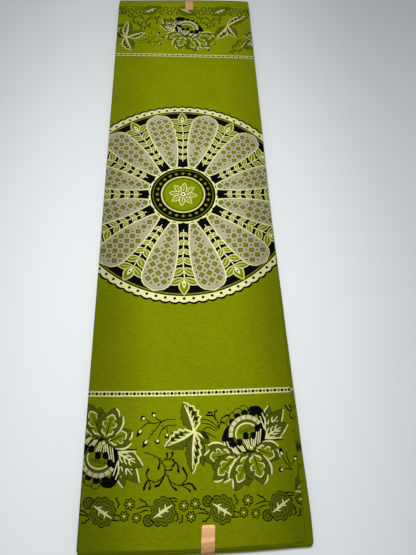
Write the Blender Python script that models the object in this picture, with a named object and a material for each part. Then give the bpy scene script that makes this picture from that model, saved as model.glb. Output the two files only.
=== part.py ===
# A printed cotton wrap cloth, one uncut length folded into a long flat strip, as it is sold.
#
# The strip lies on its underside: +Y runs along it, from the near end to the far end, +X to
# its right and +Z up. The origin is the middle of the underside's box. Units are metres.
#
# The cloth is folded lengthwise into eighteen layers. The outermost stretch is one wall:
# underside, left fold, top panel, right fold and a short flap tucked in below the top panel.
# It wraps the sixteen hidden layers, which lie in eight folded pages and make one solid that
# is layered at its edges. A strip of foil is bent over each end and holds the layers.

from math import copysign, cos, pi, radians, sin

import bmesh
import bpy

# Driving dimensions
stack_length = 1.1690       # over the ends of the longest layers
stack_width = 0.3225        # over the left fold and the widest layer on the right
stack_height = 0.0120       # eighteen layers, in the middle
top_width = 0.3112          # the top panel, fold to fold
wall = 0.0010               # the cloth, with the air that lies in it
gap = 0.0003                # between pieces that touch
fold_radius = 0.00115       # outside of the top panel's sharp right fold
flap_width = 0.0140         # what the right fold tucks in below the top panel
spine_depth = 0.0050        # how far the left fold rounds off
spine_squareness = 2.8      # 2 is round, more is squarer
right_droop = 0.0010        # the pile is thinner along its right edge
right_droop_width = 0.030
end_droop = 0.0026          # and at its ends, where nothing but selvedges lie
end_droop_length = 0.050
end_droop_power = 1.3
swell = 0.00035             # soft unevenness of the top
swell_lengths = (0.23, 0.46)    # of its waves, across the strip and along it
swell_phases = (0.7, 0.4)
page_tuck = 0.0009          # the pages' right edges lie this far in from the top panel's
page_room = 0.0006          # and their left ends this far in from the wrap
page_left_corner = 0.003    # radius of the pages' left corners
page_groove = 0.0010        # depth of the grooves between pages
first_page = 0.00135        # the topmost page lies beside the tucked flap
fan_power = 1.2
fan_start = 0.0035          # where the layers begin to slide out
fan_end = -0.554            # and are out in full from here on
band_thickness = 0.0003
band_width = 0.0184
band_short = 0.0002         # the band's top leg bends this far before the top panel's end
band_tuck = 0.5570          # its tucked leg ends this far from the middle of the strip
band_recess = 0.00065       # the underside lifts this much over a band
recess_margin = 0.005       # the recess is this much wider than the band, each side
recess_start = 0.547        # where it begins, from the middle of the strip
recess_slope = 0.007
wrap_reach = 0.5725         # the middle to the top panel's end, before its bow
under_reach = 0.5765        # the middle to the underside's end, before its bow
under_bow = 0.0010
under_right = 0.146         # X of the underside's right edge
steps_round = 8             # segments round the left fold
turn_steps = 6              # segments round the right fold
smooth_angle = 40           # degrees: sharper edges stay sharp

# The ends are slightly bowed, by side (-1 near, 1 far): how far the top panel's corners lie
# beyond its reach, how much further its middle lies, and how far short the longest layer's
# corners fall.
top_corners = {-1: 0.0010, 1: 0.0}
top_bow = {-1: 0.0036, 1: 0.0012}
long_bow = {-1: 0.0040, 1: 0.0024}

left = -stack_width / 2
right = left + top_width
end = stack_length / 2
fan_out = stack_width / 2 - right   # lower layers slide out to the right at the near end

# The pages below the top panel, from the top one down. near and far are the shares of the
# way from the top panel's end to the longest layer's end, and spread is the share of the
# fan on the right. loose is how far the right edge lies out along the far half.
page_columns = ("near", "far", "spread", "loose", "corner")
page_rows = (
    (0.36, 0.30, 0.10, 0.0000, 0.004),
    (0.62, 0.55, 0.26, 0.0004, 0.005),
    (0.55, 0.80, 0.46, 0.0009, 0.005),
    (1.00, 0.62, 0.38, 0.0002, 0.009),
    (0.84, 0.94, 0.66, 0.0007, 0.008),
    (0.94, 1.00, 0.82, 0.0011, 0.009),
    (0.76, 0.70, 1.00, 0.0005, 0.010),
    (0.88, 0.86, 0.90, 0.0009, 0.010),
)
pages = [dict(zip(page_columns, row)) for row in page_rows]

# The bands: where each one's middle is, how far it leans, and where its top leg begins.
bands = {
    "near_band": {"side": -1, "x": 0.0168, "lean": 0.060, "start": 0.5490},
    "far_band": {"side": 1, "x": 0.0058, "lean": 0.010, "start": 0.5377},
}

# A band's bend round the strip's end, from the top down. Each point lies a share of the way
# from the top panel's end to the longest layer's end, then some metres on, and at a share of
# the top's height, then some metres up.
band_bend = (
    (0.00, 0.0006, 1.00, 0.0001),
    (0.45, 0.0009, 0.80, 0.0),
    (1.00, -0.0001, 0.64, 0.0),
    (1.00, 0.0004, 0.54, 0.0),
    (1.00, 0.0004, 0.25, 0.0),
    (1.00, -0.0004, 0.0, 0.0010),
    (1.00, -0.0022, 0.0, 0.0004),
    (1.00, -0.0045, 0.0, 0.0003),
)
band_leg_shares = (0, 0.3, 0.6, 0.85, 1)
band_columns = (-0.5, -0.25, 0, 0.25, 0.5)

# Stations that the wrap and the hidden layers share, so that they lie evenly on each other.
middle_x = (-0.120, -0.082, -0.044, -0.009, -0.005, 0.0035, 0.0165, 0.0285, 0.0330,
            0.062, 0.092, 0.116)
middle_y = (-0.554, -0.547, -0.520, -0.470, -0.410, -0.340, -0.270, -0.200, -0.130, -0.060,
            0.0035, 0.070, 0.150, 0.230, 0.310, 0.390, 0.460, 0.520, 0.547, 0.554)
edge_steps = (0.0, 0.0022, 0.0050, 0.0100)   # stations in from each edge, for its corners
first_under_x = left + spine_depth + 0.006   # the wrap's own stations beside its two folds
last_under_x = (0.134, under_right)
last_top_x = (0.129, 0.140)
end_shares = (0.984, 0.9965, 1)              # and near its ends, which are bowed from here on
bowed_share = 0.97


def smooth(start, stop, value):
    share = min(1, max(0, (value - start) / (stop - start)))
    return share * share * (3 - 2 * share)


def bow(x):
    # 0 at the strip's sides and 1 in its middle: the ends are slightly bowed
    return sin(pi * min(1, max(0, (x - left) / top_width)))


def top_end(side, x):
    # Y of the top panel's selvedge at the near end (side -1) or the far end (side 1)
    return side * (wrap_reach + top_corners[side] + top_bow[side] * bow(x))


def long_end(side, x):
    # Y of the longest layer's selvedge
    return side * (end - long_bow[side] * (1 - bow(x)))


def under_end(side, x):
    # Y of the underside's selvedge
    return side * (under_reach + under_bow * bow(x))


def fan(y):
    # Share of the fan that has opened at a Y
    return min(1, max(0, (fan_start - y) / (fan_start - fan_end))) ** fan_power


def underside(x, y, ahead=0.0):
    # The underside is flat but for a shallow recess where each band is tucked in. The layers
    # above the wrap rise a little ahead of it, which keeps the two clear of each other.
    lift = 0
    beside = band_width / 2 + recess_margin + ahead
    for band in bands.values():
        across = 1 - smooth(beside, beside + recess_margin, abs(x - band["x"]))
        along = smooth(recess_start - ahead, recess_start + recess_slope - ahead, band["side"] * y)
        lift = max(lift, band_recess * across * along)
    return lift


def top_height(x, y):
    # Z of the top panel's face
    height = stack_height
    height -= right_droop * smooth(right - right_droop_width, right, x)
    height -= end_droop * smooth(end - end_droop_length, end, abs(y)) ** end_droop_power
    across = sin(2 * pi * x / swell_lengths[0] + swell_phases[0])
    along = sin(2 * pi * y / swell_lengths[1] + swell_phases[1])
    return height + swell * across * along


def spine_x(share):
    # X offset of the left fold at a share of its height, 0 at the fold's outermost line
    reach = abs(2 * share - 1) ** spine_squareness
    return 1 - max(0, 1 - reach) ** (1 / spine_squareness)


def wrap_path(y_of):
    # The outer face of the wrap in one section, from the underside's right edge, round the
    # left fold and along the top panel to the tucked flap. y_of gives Y for an X and a face.
    path = []
    for x in reversed((first_under_x,) + middle_x + last_under_x):
        y = y_of(x, "under")
        path.append((x, y, underside(x, y)))
    for step in range(steps_round + 1):
        angle = pi * step / steps_round
        x_share = 1 - abs(sin(angle)) ** (2 / spine_squareness)
        z_share = copysign(abs(cos(angle)) ** (2 / spine_squareness), cos(angle))
        share = (1 - z_share) / 2
        x = left + spine_depth * x_share
        under, over = y_of(x, "under"), y_of(x, "top")
        y = under + (over - under) * share
        path.append((x, y, top_height(x, y) * share))
    middle = right - fold_radius
    for x in middle_x + last_top_x + (middle,):
        y = y_of(x, "top")
        path.append((x, y, top_height(x, y)))
    y = y_of(middle, "top")
    level = top_height(middle, y) - fold_radius
    for step in range(1, turn_steps + 1):
        angle = pi / 2 - pi * step / turn_steps
        path.append((middle + fold_radius * cos(angle), y, level + fold_radius * sin(angle)))
    flap_edge = right - flap_width
    for x in (last_top_x[-1], 0.5 * (last_top_x[-1] + flap_edge), flap_edge):
        y = y_of(x, "top")
        path.append((x, y, top_height(x, y) - 2 * fold_radius))
    return path


def offset_inward(path, distance):
    # The path moved to its inner side in X and Z, with mitred corners
    moved = []
    for index, (x, y, z) in enumerate(path):
        before = path[max(0, index - 1)]
        after = path[min(len(path) - 1, index + 1)]
        normals = []
        for first, second in ((before, (x, y, z)), ((x, y, z), after)):
            run, rise = second[0] - first[0], second[2] - first[2]
            length = (run * run + rise * rise) ** 0.5
            if length:
                normals.append((rise / length, -run / length))
        across = sum(n[0] for n in normals) / len(normals)
        up = sum(n[1] for n in normals) / len(normals)
        square = across * across + up * up
        moved.append((x + distance * across / square, y, z + distance * up / square))
    return moved


def make_material(name, color, roughness, metallic):
    material = bpy.data.materials.new(name)
    material.use_nodes = True
    shader = material.node_tree.nodes["Principled BSDF"]
    shader.inputs["Base Color"].default_value = (*color, 1)
    shader.inputs["Roughness"].default_value = roughness
    shader.inputs["Metallic"].default_value = metallic
    return material


def make_object(name, mesh_data, material):
    mesh = bpy.data.meshes.new(name)
    bmesh.ops.recalc_face_normals(mesh_data, faces=mesh_data.faces[:])
    mesh_data.to_mesh(mesh)
    mesh_data.free()
    mesh.materials.append(material)
    piece = bpy.data.objects.new(name, mesh)
    bpy.context.scene.collection.objects.link(piece)
    mesh.shade_smooth()
    mesh.set_sharp_from_angle(angle=radians(smooth_angle))
    return piece


def add_grid(mesh_data, rows):
    return [[mesh_data.verts.new(point) for point in row] for row in rows]


def skin(mesh_data, rows, closed=False):
    # Quads between neighbouring rows of points, round the row too where it is closed
    count = len(rows[0])
    for low, high in zip(rows, rows[1:]):
        for index in range(count if closed else count - 1):
            after = (index + 1) % count
            mesh_data.faces.new((low[index], low[after], high[after], high[index]))


def close_wall(mesh_data, outer, inner):
    # A wall between two skins of the same layout: both skins and the four narrow edges
    skin(mesh_data, outer)
    skin(mesh_data, inner)
    skin(mesh_data, [outer[0], inner[0]])
    skin(mesh_data, [outer[-1], inner[-1]])
    for column in (0, -1):
        skin(mesh_data, [[row[column] for row in outer], [row[column] for row in inner]])


def make_outer_wrap(material):
    mesh_data = bmesh.new()
    shares = [-share for share in reversed(end_shares)]
    shares += [y / wrap_reach for y in middle_y] + list(end_shares)
    outer_rows, inner_rows = [], []
    for share in shares:
        def y_of(x, face, share=share):
            side = -1 if share < 0 else 1
            reach = top_end(side, x) if face == "top" else under_end(side, x)
            if abs(share) < bowed_share:
                return share * wrap_reach
            return reach * abs(share)
        path = wrap_path(y_of)
        outer_rows.append(path)
        inner_rows.append(offset_inward(path, wall))
    outer, inner = add_grid(mesh_data, outer_rows), add_grid(mesh_data, inner_rows)
    close_wall(mesh_data, outer, inner)
    return make_object("outer_wrap", mesh_data, material)


def page_levels(x, y):
    # Z of the boundaries between the pages at one place, from the top one down
    low = underside(x, y, recess_slope) + wall + gap
    high = top_height(x, y) - wall - gap
    first = high - first_page
    below = len(pages) - 1
    return [high] + [first + (low - first) * step / below for step in range(below + 1)]


def page_edges(page, index):
    # A page's left X, and functions that give its right X at a Y and its end's Y at an X
    share_up = 1 - (index + 0.5) / len(pages)
    left_x = left + wall + gap + page_room + (spine_depth - page_room) * spine_x(share_up)

    def right_of(y):
        if index == 0:
            return right - flap_width - gap
        opened = fan(y)
        shut = page["loose"] - page_tuck
        return right + shut * (1 - opened) + page["spread"] * fan_out * opened

    def end_of(side, x):
        share = page["near"] if side < 0 else page["far"]
        start, stop = top_end(side, x), long_end(side, x)
        return start + (stop - start) * share

    return left_x, right_of, end_of


def corner_shift(from_x_edge, from_y_edge, radius):
    # How far a point on a rectangle's rim moves in for a corner of this radius
    if from_x_edge >= radius or from_y_edge >= radius:
        return 0, 0
    along = max(from_x_edge, from_y_edge)
    angle = (1 - along / radius) * pi / 4
    in_far = radius * (1 - sin(angle)) - along
    in_near = radius * (1 - cos(angle))
    return (in_far, in_near) if from_x_edge >= from_y_edge else (in_near, in_far)


def page_grid(page, index, inset=0.0):
    # The plan of one page: rows of (x, y), with its rim inset evenly by a distance
    left_x, right_of, end_of = page_edges(page, index)
    near_edge = len(edge_steps)
    columns, rows = len(middle_x) + 2 * near_edge, len(middle_y) + 2 * near_edge

    def place(column, row):
        nominal_y = middle_y[min(max(row - near_edge, 0), len(middle_y) - 1)]
        if column >= columns - near_edge:
            back = edge_steps[columns - 1 - column]
            x, from_x = right_of(nominal_y) - back, back
            radius = page["corner"]
        else:
            x = left_x + edge_steps[column] if column < near_edge else middle_x[column - near_edge]
            from_x = x - left_x
            radius = page_left_corner
        if row < near_edge:
            y, from_y = end_of(-1, x) + edge_steps[row], edge_steps[row]
        elif row >= rows - near_edge:
            back = edge_steps[rows - 1 - row]
            y, from_y = end_of(1, x) - back, back
        else:
            y, from_y = nominal_y, radius
        move_x, move_y = corner_shift(from_x, from_y, radius)
        across = -1 if x > 0 else 1
        along = -1 if y > 0 else 1
        x += across * move_x
        y += along * move_y
        x += across * inset if column in (0, columns - 1) else 0
        y += along * inset if row in (0, rows - 1) else 0
        return x, y

    return [[place(column, row) for column in range(columns)] for row in range(rows)]


def rim_of(grid):
    # The outermost points of a grid, in order round it
    bottom = grid[0]
    right_side = [row[-1] for row in grid[1:-1]]
    top = grid[-1][::-1]
    left_side = [row[0] for row in grid[1:-1]][::-1]
    return bottom + right_side + top + left_side


def make_folded_layers(material):
    mesh_data = bmesh.new()
    rims = [rim_of(page_grid(page, index)) for index, page in enumerate(pages)]
    tucked = [rim_of(page_grid(page, index, page_groove)) for index, page in enumerate(pages)]

    def pulled_in(index):
        # The groove below a page follows whichever of its two neighbours lies further in
        points = []
        for (x, y), (other_x, other_y) in zip(tucked[index], tucked[index + 1]):
            points.append((min(x, other_x) if x > 0 else max(x, other_x),
                           min(y, other_y) if y > 0 else max(y, other_y)))
        return points

    top = [[mesh_data.verts.new((x, y, page_levels(x, y)[0])) for x, y in row]
           for row in page_grid(pages[0], 0, page_groove)]
    skin(mesh_data, top)
    rings = [rim_of(top)]
    for index in range(len(pages)):
        bulge = []
        for x, y in rims[index]:
            levels = page_levels(x, y)
            bulge.append(mesh_data.verts.new((x, y, (levels[index] + levels[index + 1]) / 2)))
        rings.append(bulge)
        if index + 1 < len(pages):
            rings.append([mesh_data.verts.new((x, y, page_levels(x, y)[index + 1]))
                          for x, y in pulled_in(index)])
    last = len(pages) - 1
    bottom = [[mesh_data.verts.new((x, y, page_levels(x, y)[-1])) for x, y in row]
              for row in page_grid(pages[last], last, page_groove)]
    skin(mesh_data, bottom)
    rings.append(rim_of(bottom))
    skin(mesh_data, rings, closed=True)
    return make_object("folded_layers", mesh_data, material)


def band_path(band, x):
    # The band's face next to the cloth, at one X, from its top end round to its tucked end
    side = band["side"]
    edge = abs(top_end(side, x))
    outer = abs(long_end(side, x))
    path = []
    for share in band_leg_shares:
        reach = band["start"] + (edge - band_short - band["start"]) * share
        path.append((reach, top_height(x, side * reach) + gap))
    corner = top_height(x, side * edge)
    for out_share, beyond, up_share, above in band_bend:
        path.append((edge + out_share * (outer - edge) + beyond, up_share * corner + above))
    path.append((band_tuck, band_thickness))
    return [(side * reach, z) for reach, z in path]


def make_band(name, band, material):
    mesh_data = bmesh.new()
    outer_rows, inner_rows = [], []
    for across in band_columns:
        middle = band["x"] + across * band_width
        path = band_path(band, middle)
        inner, outer = [], []
        for index, (y, z) in enumerate(path):
            before, after = path[max(0, index - 1)], path[min(len(path) - 1, index + 1)]
            run, rise = after[0] - before[0], after[1] - before[1]
            length = (run * run + rise * rise) ** 0.5
            out_y, out_z = -rise / length * band["side"], run / length * band["side"]
            x = middle + band["lean"] * (y - band["side"] * band["start"])
            inner.append((x, y, z))
            outer.append((x, y + out_y * band_thickness, max(0, z + out_z * band_thickness)))
        inner_rows.append(inner)
        outer_rows.append(outer)
    inner, outer = add_grid(mesh_data, inner_rows), add_grid(mesh_data, outer_rows)
    close_wall(mesh_data, outer, inner)
    return make_object(name, mesh_data, material)


for old in list(bpy.data.objects):
    bpy.data.objects.remove(old)

cloth_material = make_material("printed_cotton", (0.223, 0.259, 0.004), 0.75, 0.0)
layer_material = make_material("cotton_layers", (0.150, 0.170, 0.004), 0.80, 0.0)
foil_material = make_material("copper_foil", (0.80, 0.46, 0.27), 0.28, 1.0)

make_outer_wrap(cloth_material)
make_folded_layers(layer_material)
for band_name, band_sizes in bands.items():
    make_band(band_name, band_sizes, foil_material)
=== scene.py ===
# A printed cotton wrap cloth, folded into a long flat strip and held by two foil bands.
# Metres, +Y along the strip, +Z up. The print is drawn in millimetres on the unfolded cloth:
# u runs across the strip, v along it, and both match X and Y on the top panel.

from math import atan2, ceil, copysign, cos, exp, floor, hypot, pi, radians, sin, sqrt, tan

import bpy
import numpy
from mathutils import Matrix, Vector
from mathutils.geometry import delaunay_2d_cdt


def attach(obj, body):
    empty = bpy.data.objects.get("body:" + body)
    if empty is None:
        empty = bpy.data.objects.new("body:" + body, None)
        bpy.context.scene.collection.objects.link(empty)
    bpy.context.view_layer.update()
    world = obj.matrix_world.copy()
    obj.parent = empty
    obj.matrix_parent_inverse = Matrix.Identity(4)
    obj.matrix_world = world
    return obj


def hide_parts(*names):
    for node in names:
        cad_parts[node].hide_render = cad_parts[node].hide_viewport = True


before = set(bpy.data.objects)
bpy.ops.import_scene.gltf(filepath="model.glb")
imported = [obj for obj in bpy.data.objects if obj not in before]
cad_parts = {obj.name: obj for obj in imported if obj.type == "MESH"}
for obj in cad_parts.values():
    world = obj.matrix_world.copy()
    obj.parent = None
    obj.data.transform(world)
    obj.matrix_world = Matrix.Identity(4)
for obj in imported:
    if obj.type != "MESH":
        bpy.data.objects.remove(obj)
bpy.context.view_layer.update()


# The folded strip

strip = {
    "width": 0.3225, "topWidth": 0.3112, "height": 0.0120,
    "reach": 0.5725,                         # half its length, at the top panel
    "nearMore": 0.0010, "nearBow": 0.0036, "farBow": 0.0012,     # the ends bow out a little
    "underReach": 0.5765, "underBow": 0.0010,
    "halfLength": 0.5845,                    # at the longest of the layers inside
    "nearCorner": 0.0040, "farCorner": 0.0024,
    "farSlant": 0.024,                       # the far end runs askew, this far a metre across
    "foldRadius": 0.00115, "spineDepth": 0.0050, "spineSquareness": 2.8,   # right fold, left fold
    "underStop": 0.146, "flap": 0.014,       # X where the underside ends, and the tucked-in flap
    "rightDroop": 0.0010, "rightDroopWidth": 0.030, "endDroop": 0.0026, "endDroopLength": 0.050,
    "swell": 0.00035, "swellAcross": 0.23, "swellAlong": 0.46,
    "cloth": 0.00034, "layerGap": 0.00012,
    "halfCloth": 0.5755,                     # half the cloth's width, selvedge to selvedge
}
stripLeft = -strip["width"] / 2
stripRight = stripLeft + strip["topWidth"]

bandSizes = {
    "near_band": {"side": -1, "x": 0.0168, "lean": 0.060, "start": 0.5490},
    "far_band": {"side": 1, "x": 0.0058, "lean": 0.010, "start": 0.5377},
}
bandWidth = 0.0184
bandRecess = 0.00065      # how far the underside lifts over the foil

# Soft creases pressed in by folding: place along the strip, depth, width, lean, and the
# stretch across the strip where it shows
creaseColumns = ("y", "depth", "width", "lean", "from", "to")
creaseRows = (
    (0.452, -0.00016, 0.0050, 0.020, -0.16, 0.09),
    (0.338, 0.00020, 0.0060, -0.012, -0.10, 0.16),
    (0.296, -0.00018, 0.0045, 0.015, -0.16, 0.16),
    (-0.232, -0.00020, 0.0050, 0.010, -0.16, 0.05),
    (-0.271, 0.00024, 0.0070, -0.016, -0.12, 0.16),
    (-0.318, -0.00008, 0.0055, 0.008, -0.02, 0.16),
    (-0.340, 0.00005, 0.0070, -0.010, -0.16, 0.12),
    (-0.505, 0.00018, 0.0060, 0.020, -0.16, 0.06),
    (-0.5535, 0.00030, 0.0042, 0.006, -0.16, 0.10),
    (-0.5655, -0.00050, 0.0026, 0.004, -0.16, 0.16),
    (0.548, -0.00024, 0.0035, -0.006, -0.16, 0.16),
)
creases = [dict(zip(creaseColumns, row)) for row in creaseRows]
slideCrease = {"depth": 0.0005, "width": 0.0035, "inset": 0.0115, "drift": 0.003}


def smooth(start, stop, value):
    # From 0 to 1 between two values, with soft ends
    share = min(1, max(0, (value - start) / (stop - start)))
    return share * share * (3 - 2 * share)


def bow(x):
    # 1 in the middle of the top panel and 0 at its two folds
    return sin(pi * min(1, max(0, (x - stripLeft) / strip["topWidth"])))


def topEnd(side, x):
    # How far out the top panel ends, at the near end (side -1) or the far one (side 1)
    if side < 0:
        return strip["reach"] + strip["nearMore"] + strip["nearBow"] * bow(x)
    return strip["reach"] + strip["farBow"] * bow(x) + strip["farSlant"] * x


def underEnd(x):
    return strip["underReach"] + strip["underBow"] * bow(x)


def longEnd(side, x):
    # How far out the longest inner layer ends
    if side < 0:
        return strip["halfLength"] - strip["nearCorner"] * (1 - bow(x))
    return strip["halfLength"] - strip["farCorner"] * (1 - bow(x)) + strip["farSlant"] * x


def thickness(x, y):
    # The strip's height without its creases: lower at the ends and by the right fold
    height = strip["height"]
    edge = stripRight - strip["rightDroopWidth"]
    height -= strip["rightDroop"] * smooth(edge, stripRight, x)
    ramp = smooth(strip["halfLength"] - strip["endDroopLength"], strip["halfLength"], abs(y))
    height -= strip["endDroop"] * ramp ** 1.3
    height += (strip["swell"] * sin(2 * pi * x / strip["swellAcross"] + 0.7)
               * sin(2 * pi * y / strip["swellAlong"] + 0.4))
    return height


def pressedCreases(x, y):
    depth = 0
    for crease in creases:
        away = (y - crease["y"] - crease["lean"] * x - 0.002 * sin(31 * x)) / crease["width"]
        if abs(away) < 3:
            ends = smooth(crease["from"], crease["from"] + 0.05, x)
            ends *= 1 - smooth(crease["to"] - 0.05, crease["to"], x)
            depth += 0.6 * crease["depth"] * exp(-away * away) * ends
    # the long crease a little inside the right edge, where the lower layers slide out
    inset = slideCrease["inset"] - slideCrease["drift"] * smooth(0.05, 0.5, -y)
    away = (x - stripRight + inset) / slideCrease["width"]
    depth -= slideCrease["depth"] * exp(-away * away) * smooth(-0.02, 0.30, -y)
    depth += 0.00010 * sin(47 * x + 9 * y) * sin(38 * y + 11 * x)
    return depth


def topZ(x, y):
    return thickness(x, y) + pressedCreases(x, y)


def underLift(x, y):
    # How far the underside lifts off the floor, where the foil is tucked under it
    lift = 0
    for band in bandSizes.values():
        beside = bandWidth / 2 + 0.005
        across = 1 - smooth(beside, beside + 0.005, abs(x - band["x"]))
        lift = max(lift, bandRecess * across * smooth(0.547, 0.554, band["side"] * y))
    return lift


# The left fold's length round its curve, in steps, so that u can follow it
def spinePoint(share, height):
    angle = pi * share
    power = 2 / strip["spineSquareness"]
    across = 1 - abs(sin(angle)) ** power
    up = (1 - copysign(abs(cos(angle)) ** power, cos(angle))) / 2
    return stripLeft + strip["spineDepth"] * across, height * up


spineSteps = [spinePoint(step / 64, strip["height"]) for step in range(65)]
spineRun = [0.0]
for first, second in zip(spineSteps, spineSteps[1:]):
    spineRun.append(spineRun[-1] + hypot(second[0] - first[0], second[1] - first[1]))
spineLength = spineRun[-1]

uSpine = stripLeft + strip["spineDepth"]              # the top panel begins here
uUnder = uSpine - spineLength                         # and the underside here
uStart = uUnder - (strip["underStop"] - uSpine)       # its raw edge, under the right side
uTurn = stripRight - strip["foldRadius"]              # the right fold begins here
turnLength = pi * strip["foldRadius"]
uEnd = uTurn + turnLength + (uTurn - (stripRight - strip["flap"]))      # the flap's raw edge


def shareRoundSpine(run):
    # Share of the angle round the left fold at a length round it from the underside
    for step in range(64):
        if spineRun[step + 1] >= run:
            part = (run - spineRun[step]) / (spineRun[step + 1] - spineRun[step])
            return (step + part) / 64
    return 1.0


def alongEnds(v, x, level):
    # Y of a point of the cloth: the selvedges bow a little, less so on the underside
    # and the far one runs askew
    side = -1 if v < 0 else 1
    slant = strip["farSlant"] * x if side > 0 else 0.0
    reach = underEnd(x) + (topEnd(side, x) - slant - underEnd(x)) * level
    return v * reach / strip["halfCloth"] + slant * smooth(0.50, 0.57, v)


def foldedPoint(u, v, inset=0.0):
    # Where a point of the unfolded cloth lies on the strip's outermost stretch, in metres,
    # and as far inside its printed face as inset says
    if u < uUnder:
        x = uSpine + (uUnder - u)
        y = alongEnds(v, x, 0)
        return x, y, underLift(x, y) + inset
    if u < uSpine:
        share = shareRoundSpine(u - uUnder)
        x, z = spinePoint(share, 1.0)
        y = alongEnds(v, x, z)
        x += inset * (uSpine - x) / strip["spineDepth"]
        return x, y, inset + (topZ(uSpine, y) - 2 * inset) * z
    if u <= uTurn:
        y = alongEnds(v, u, 1)
        return u, y, topZ(u, y) - inset
    y = alongEnds(v, uTurn, 1)
    radius = strip["foldRadius"]
    top = topZ(uTurn, y)
    angle = (u - uTurn) / radius
    if angle < pi:
        return (uTurn + (radius - inset) * sin(angle), y,
                top - radius + (radius - inset) * cos(angle))
    return uTurn - (u - uTurn - turnLength), y, top - 2 * radius + inset


def faceNormal(u, v):
    # The printed face's outward direction, from its slope both ways
    step = 0.00025
    left, right, near, far = (Vector(foldedPoint(*spot)) for spot in (
        (u - step, v), (u + step, v), (u, v - step), (u, v + step)))
    return (right - left).cross(far - near).normalized()


# Drawing the print. A motif is a list of (ink, points) in its own millimetres, later ones
# over earlier ones. Inks: green, dark, cream, beige, web (a dark net), and shade and veil,
# which are fine dark lines on green.

def put(motif, at=(0, 0), turn=0.0, size=1.0, flip=False):
    c, s = cos(radians(turn)) * size, sin(radians(turn)) * size
    placed = []
    for ink, points in motif:
        spots = [(-x, y) if flip else (x, y) for x, y in points]
        placed.append((ink, [(at[0] + c * x - s * y, at[1] + s * x + c * y) for x, y in spots]))
    return placed


def curve(points, steps=5, closed=False):
    # A smooth line through a few points
    count = len(points)
    found = []
    for index in range(count if closed else count - 1):
        if closed:
            a, b, c, d = (points[(index + k) % count] for k in (-1, 0, 1, 2))
        else:
            b, c = points[index], points[index + 1]
            a = points[index - 1] if index else (2 * b[0] - c[0], 2 * b[1] - c[1])
            last = index + 2 >= count
            d = (2 * c[0] - b[0], 2 * c[1] - b[1]) if last else points[index + 2]
        for step in range(steps):
            t = step / steps
            found.append(tuple(
                0.5 * (2 * b[k] + (c[k] - a[k]) * t
                       + (2 * a[k] - 5 * b[k] + 4 * c[k] - d[k]) * t * t
                       + (3 * b[k] - a[k] - 3 * c[k] + d[k]) * t ** 3) for k in (0, 1)))
    if not closed:
        found.append(points[-1])
    return found


def line(points, wide, end=None, start=None, steps=4):
    # A brush line: wide in its middle, tapering to its start and end widths, round at both
    path = curve(points, steps) if len(points) > 2 else list(points)
    start = wide if start is None else start
    end = wide if end is None else end
    left, right = [], []
    total = len(path) - 1
    for index, (x, y) in enumerate(path):
        ax, ay = path[max(0, index - 1)]
        bx, by = path[min(total, index + 1)]
        run = hypot(bx - ax, by - ay) or 1
        nx, ny = -(by - ay) / run, (bx - ax) / run
        t = index / total
        half = 0.5 * (start + (wide - start) * min(1, 2 * t) + (end - wide) * max(0, 2 * t - 1))
        left.append((x + nx * half, y + ny * half))
        right.append((x - nx * half, y - ny * half))
    tip, tail = path[-1], path[0]
    dx, dy = tip[0] - path[-2][0], tip[1] - path[-2][1]
    run = hypot(dx, dy) or 1
    caps = [(tip[0] + dx / run * end / 2, tip[1] + dy / run * end / 2)]
    dx, dy = tail[0] - path[1][0], tail[1] - path[1][1]
    run = hypot(dx, dy) or 1
    back = [(tail[0] + dx / run * start / 2, tail[1] + dy / run * start / 2)]
    return left + caps + right[::-1] + back


def disc(x, y, radius, count=12, tall=None):
    tall = radius if tall is None else tall
    return [(x + radius * cos(2 * pi * k / count), y + tall * sin(2 * pi * k / count))
            for k in range(count)]


def leafHalf(wide, t, full=0.85):
    # Half a leaf's width at a share of its length
    return wide / 2 * max(0, sin(pi * t ** full)) ** 0.85


def blade(length, wide, bend=0.0, grow=0.0, lobes=0, deep=0.0, full=0.85, count=26, saw=False):
    # A leaf's outline along +Y, from its base to its tip, with lobes or saw teeth at will
    left, right = [], []
    for index in range(count + 1):
        t = index / count
        half = leafHalf(wide, t, full)
        if lobes:
            wave = (t * lobes) % 1 if saw else 0.5 - 0.5 * cos(2 * pi * t * lobes)
            half *= 1 - deep * (wave if saw else 1 - wave)
        half += grow
        x, y = bend * length * (t * t), length * t
        slope = 2 * bend * t
        run = sqrt(1 + slope * slope)
        nx, ny = 1 / run, -slope / run
        left.append((x - nx * half, y - ny * half))
        right.append((x + nx * half, y + ny * half))
    tip = (bend * length + 2 * bend * grow * 2, length + grow * 1.6)
    return left + [tip] + right[::-1]


def edgeSpot(length, wide, bend, side, t, share=1.0, out=0.0):
    # A point beside such a leaf's midrib, at a share of the way to its edge
    half = leafHalf(wide, t) * share + out
    slope = 2 * bend * t
    run = sqrt(1 + slope * slope)
    return bend * length * t * t + side * half / run, length * t - side * half * slope / run


def edgeOf(length, wide, bend, side, start, stop, count, out=0.0):
    # Points along one side of its edge, between two shares of its length
    return [edgeSpot(length, wide, bend, side, start + (stop - start) * k / count, out=out)
            for k in range(count + 1)]


def toothedEdge(length, wide, bend, side, low, high):
    # One side's edge with five teeth that lean towards the tip, between two shares of its width
    path = []
    for k in range(5):
        for step, share in ((0.0, low), (0.75, high)):
            t = 0.04 + 0.92 * (k + step) / 5
            path.append(edgeSpot(length, wide, bend, side, t, share))
    return path


def span(drawLeaf, base, tip, wide, bend=0.0, side=1):
    # A leaf drawn from its base to its tip
    dx, dy = tip[0] - base[0], tip[1] - base[1]
    length = hypot(dx, dy) / sqrt(1 + bend * bend)
    turn = (atan2(-dx, dy) + atan2(bend, 1)) * 180 / pi
    return put(drawLeaf(length, wide, bend, side), base, turn)


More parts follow.
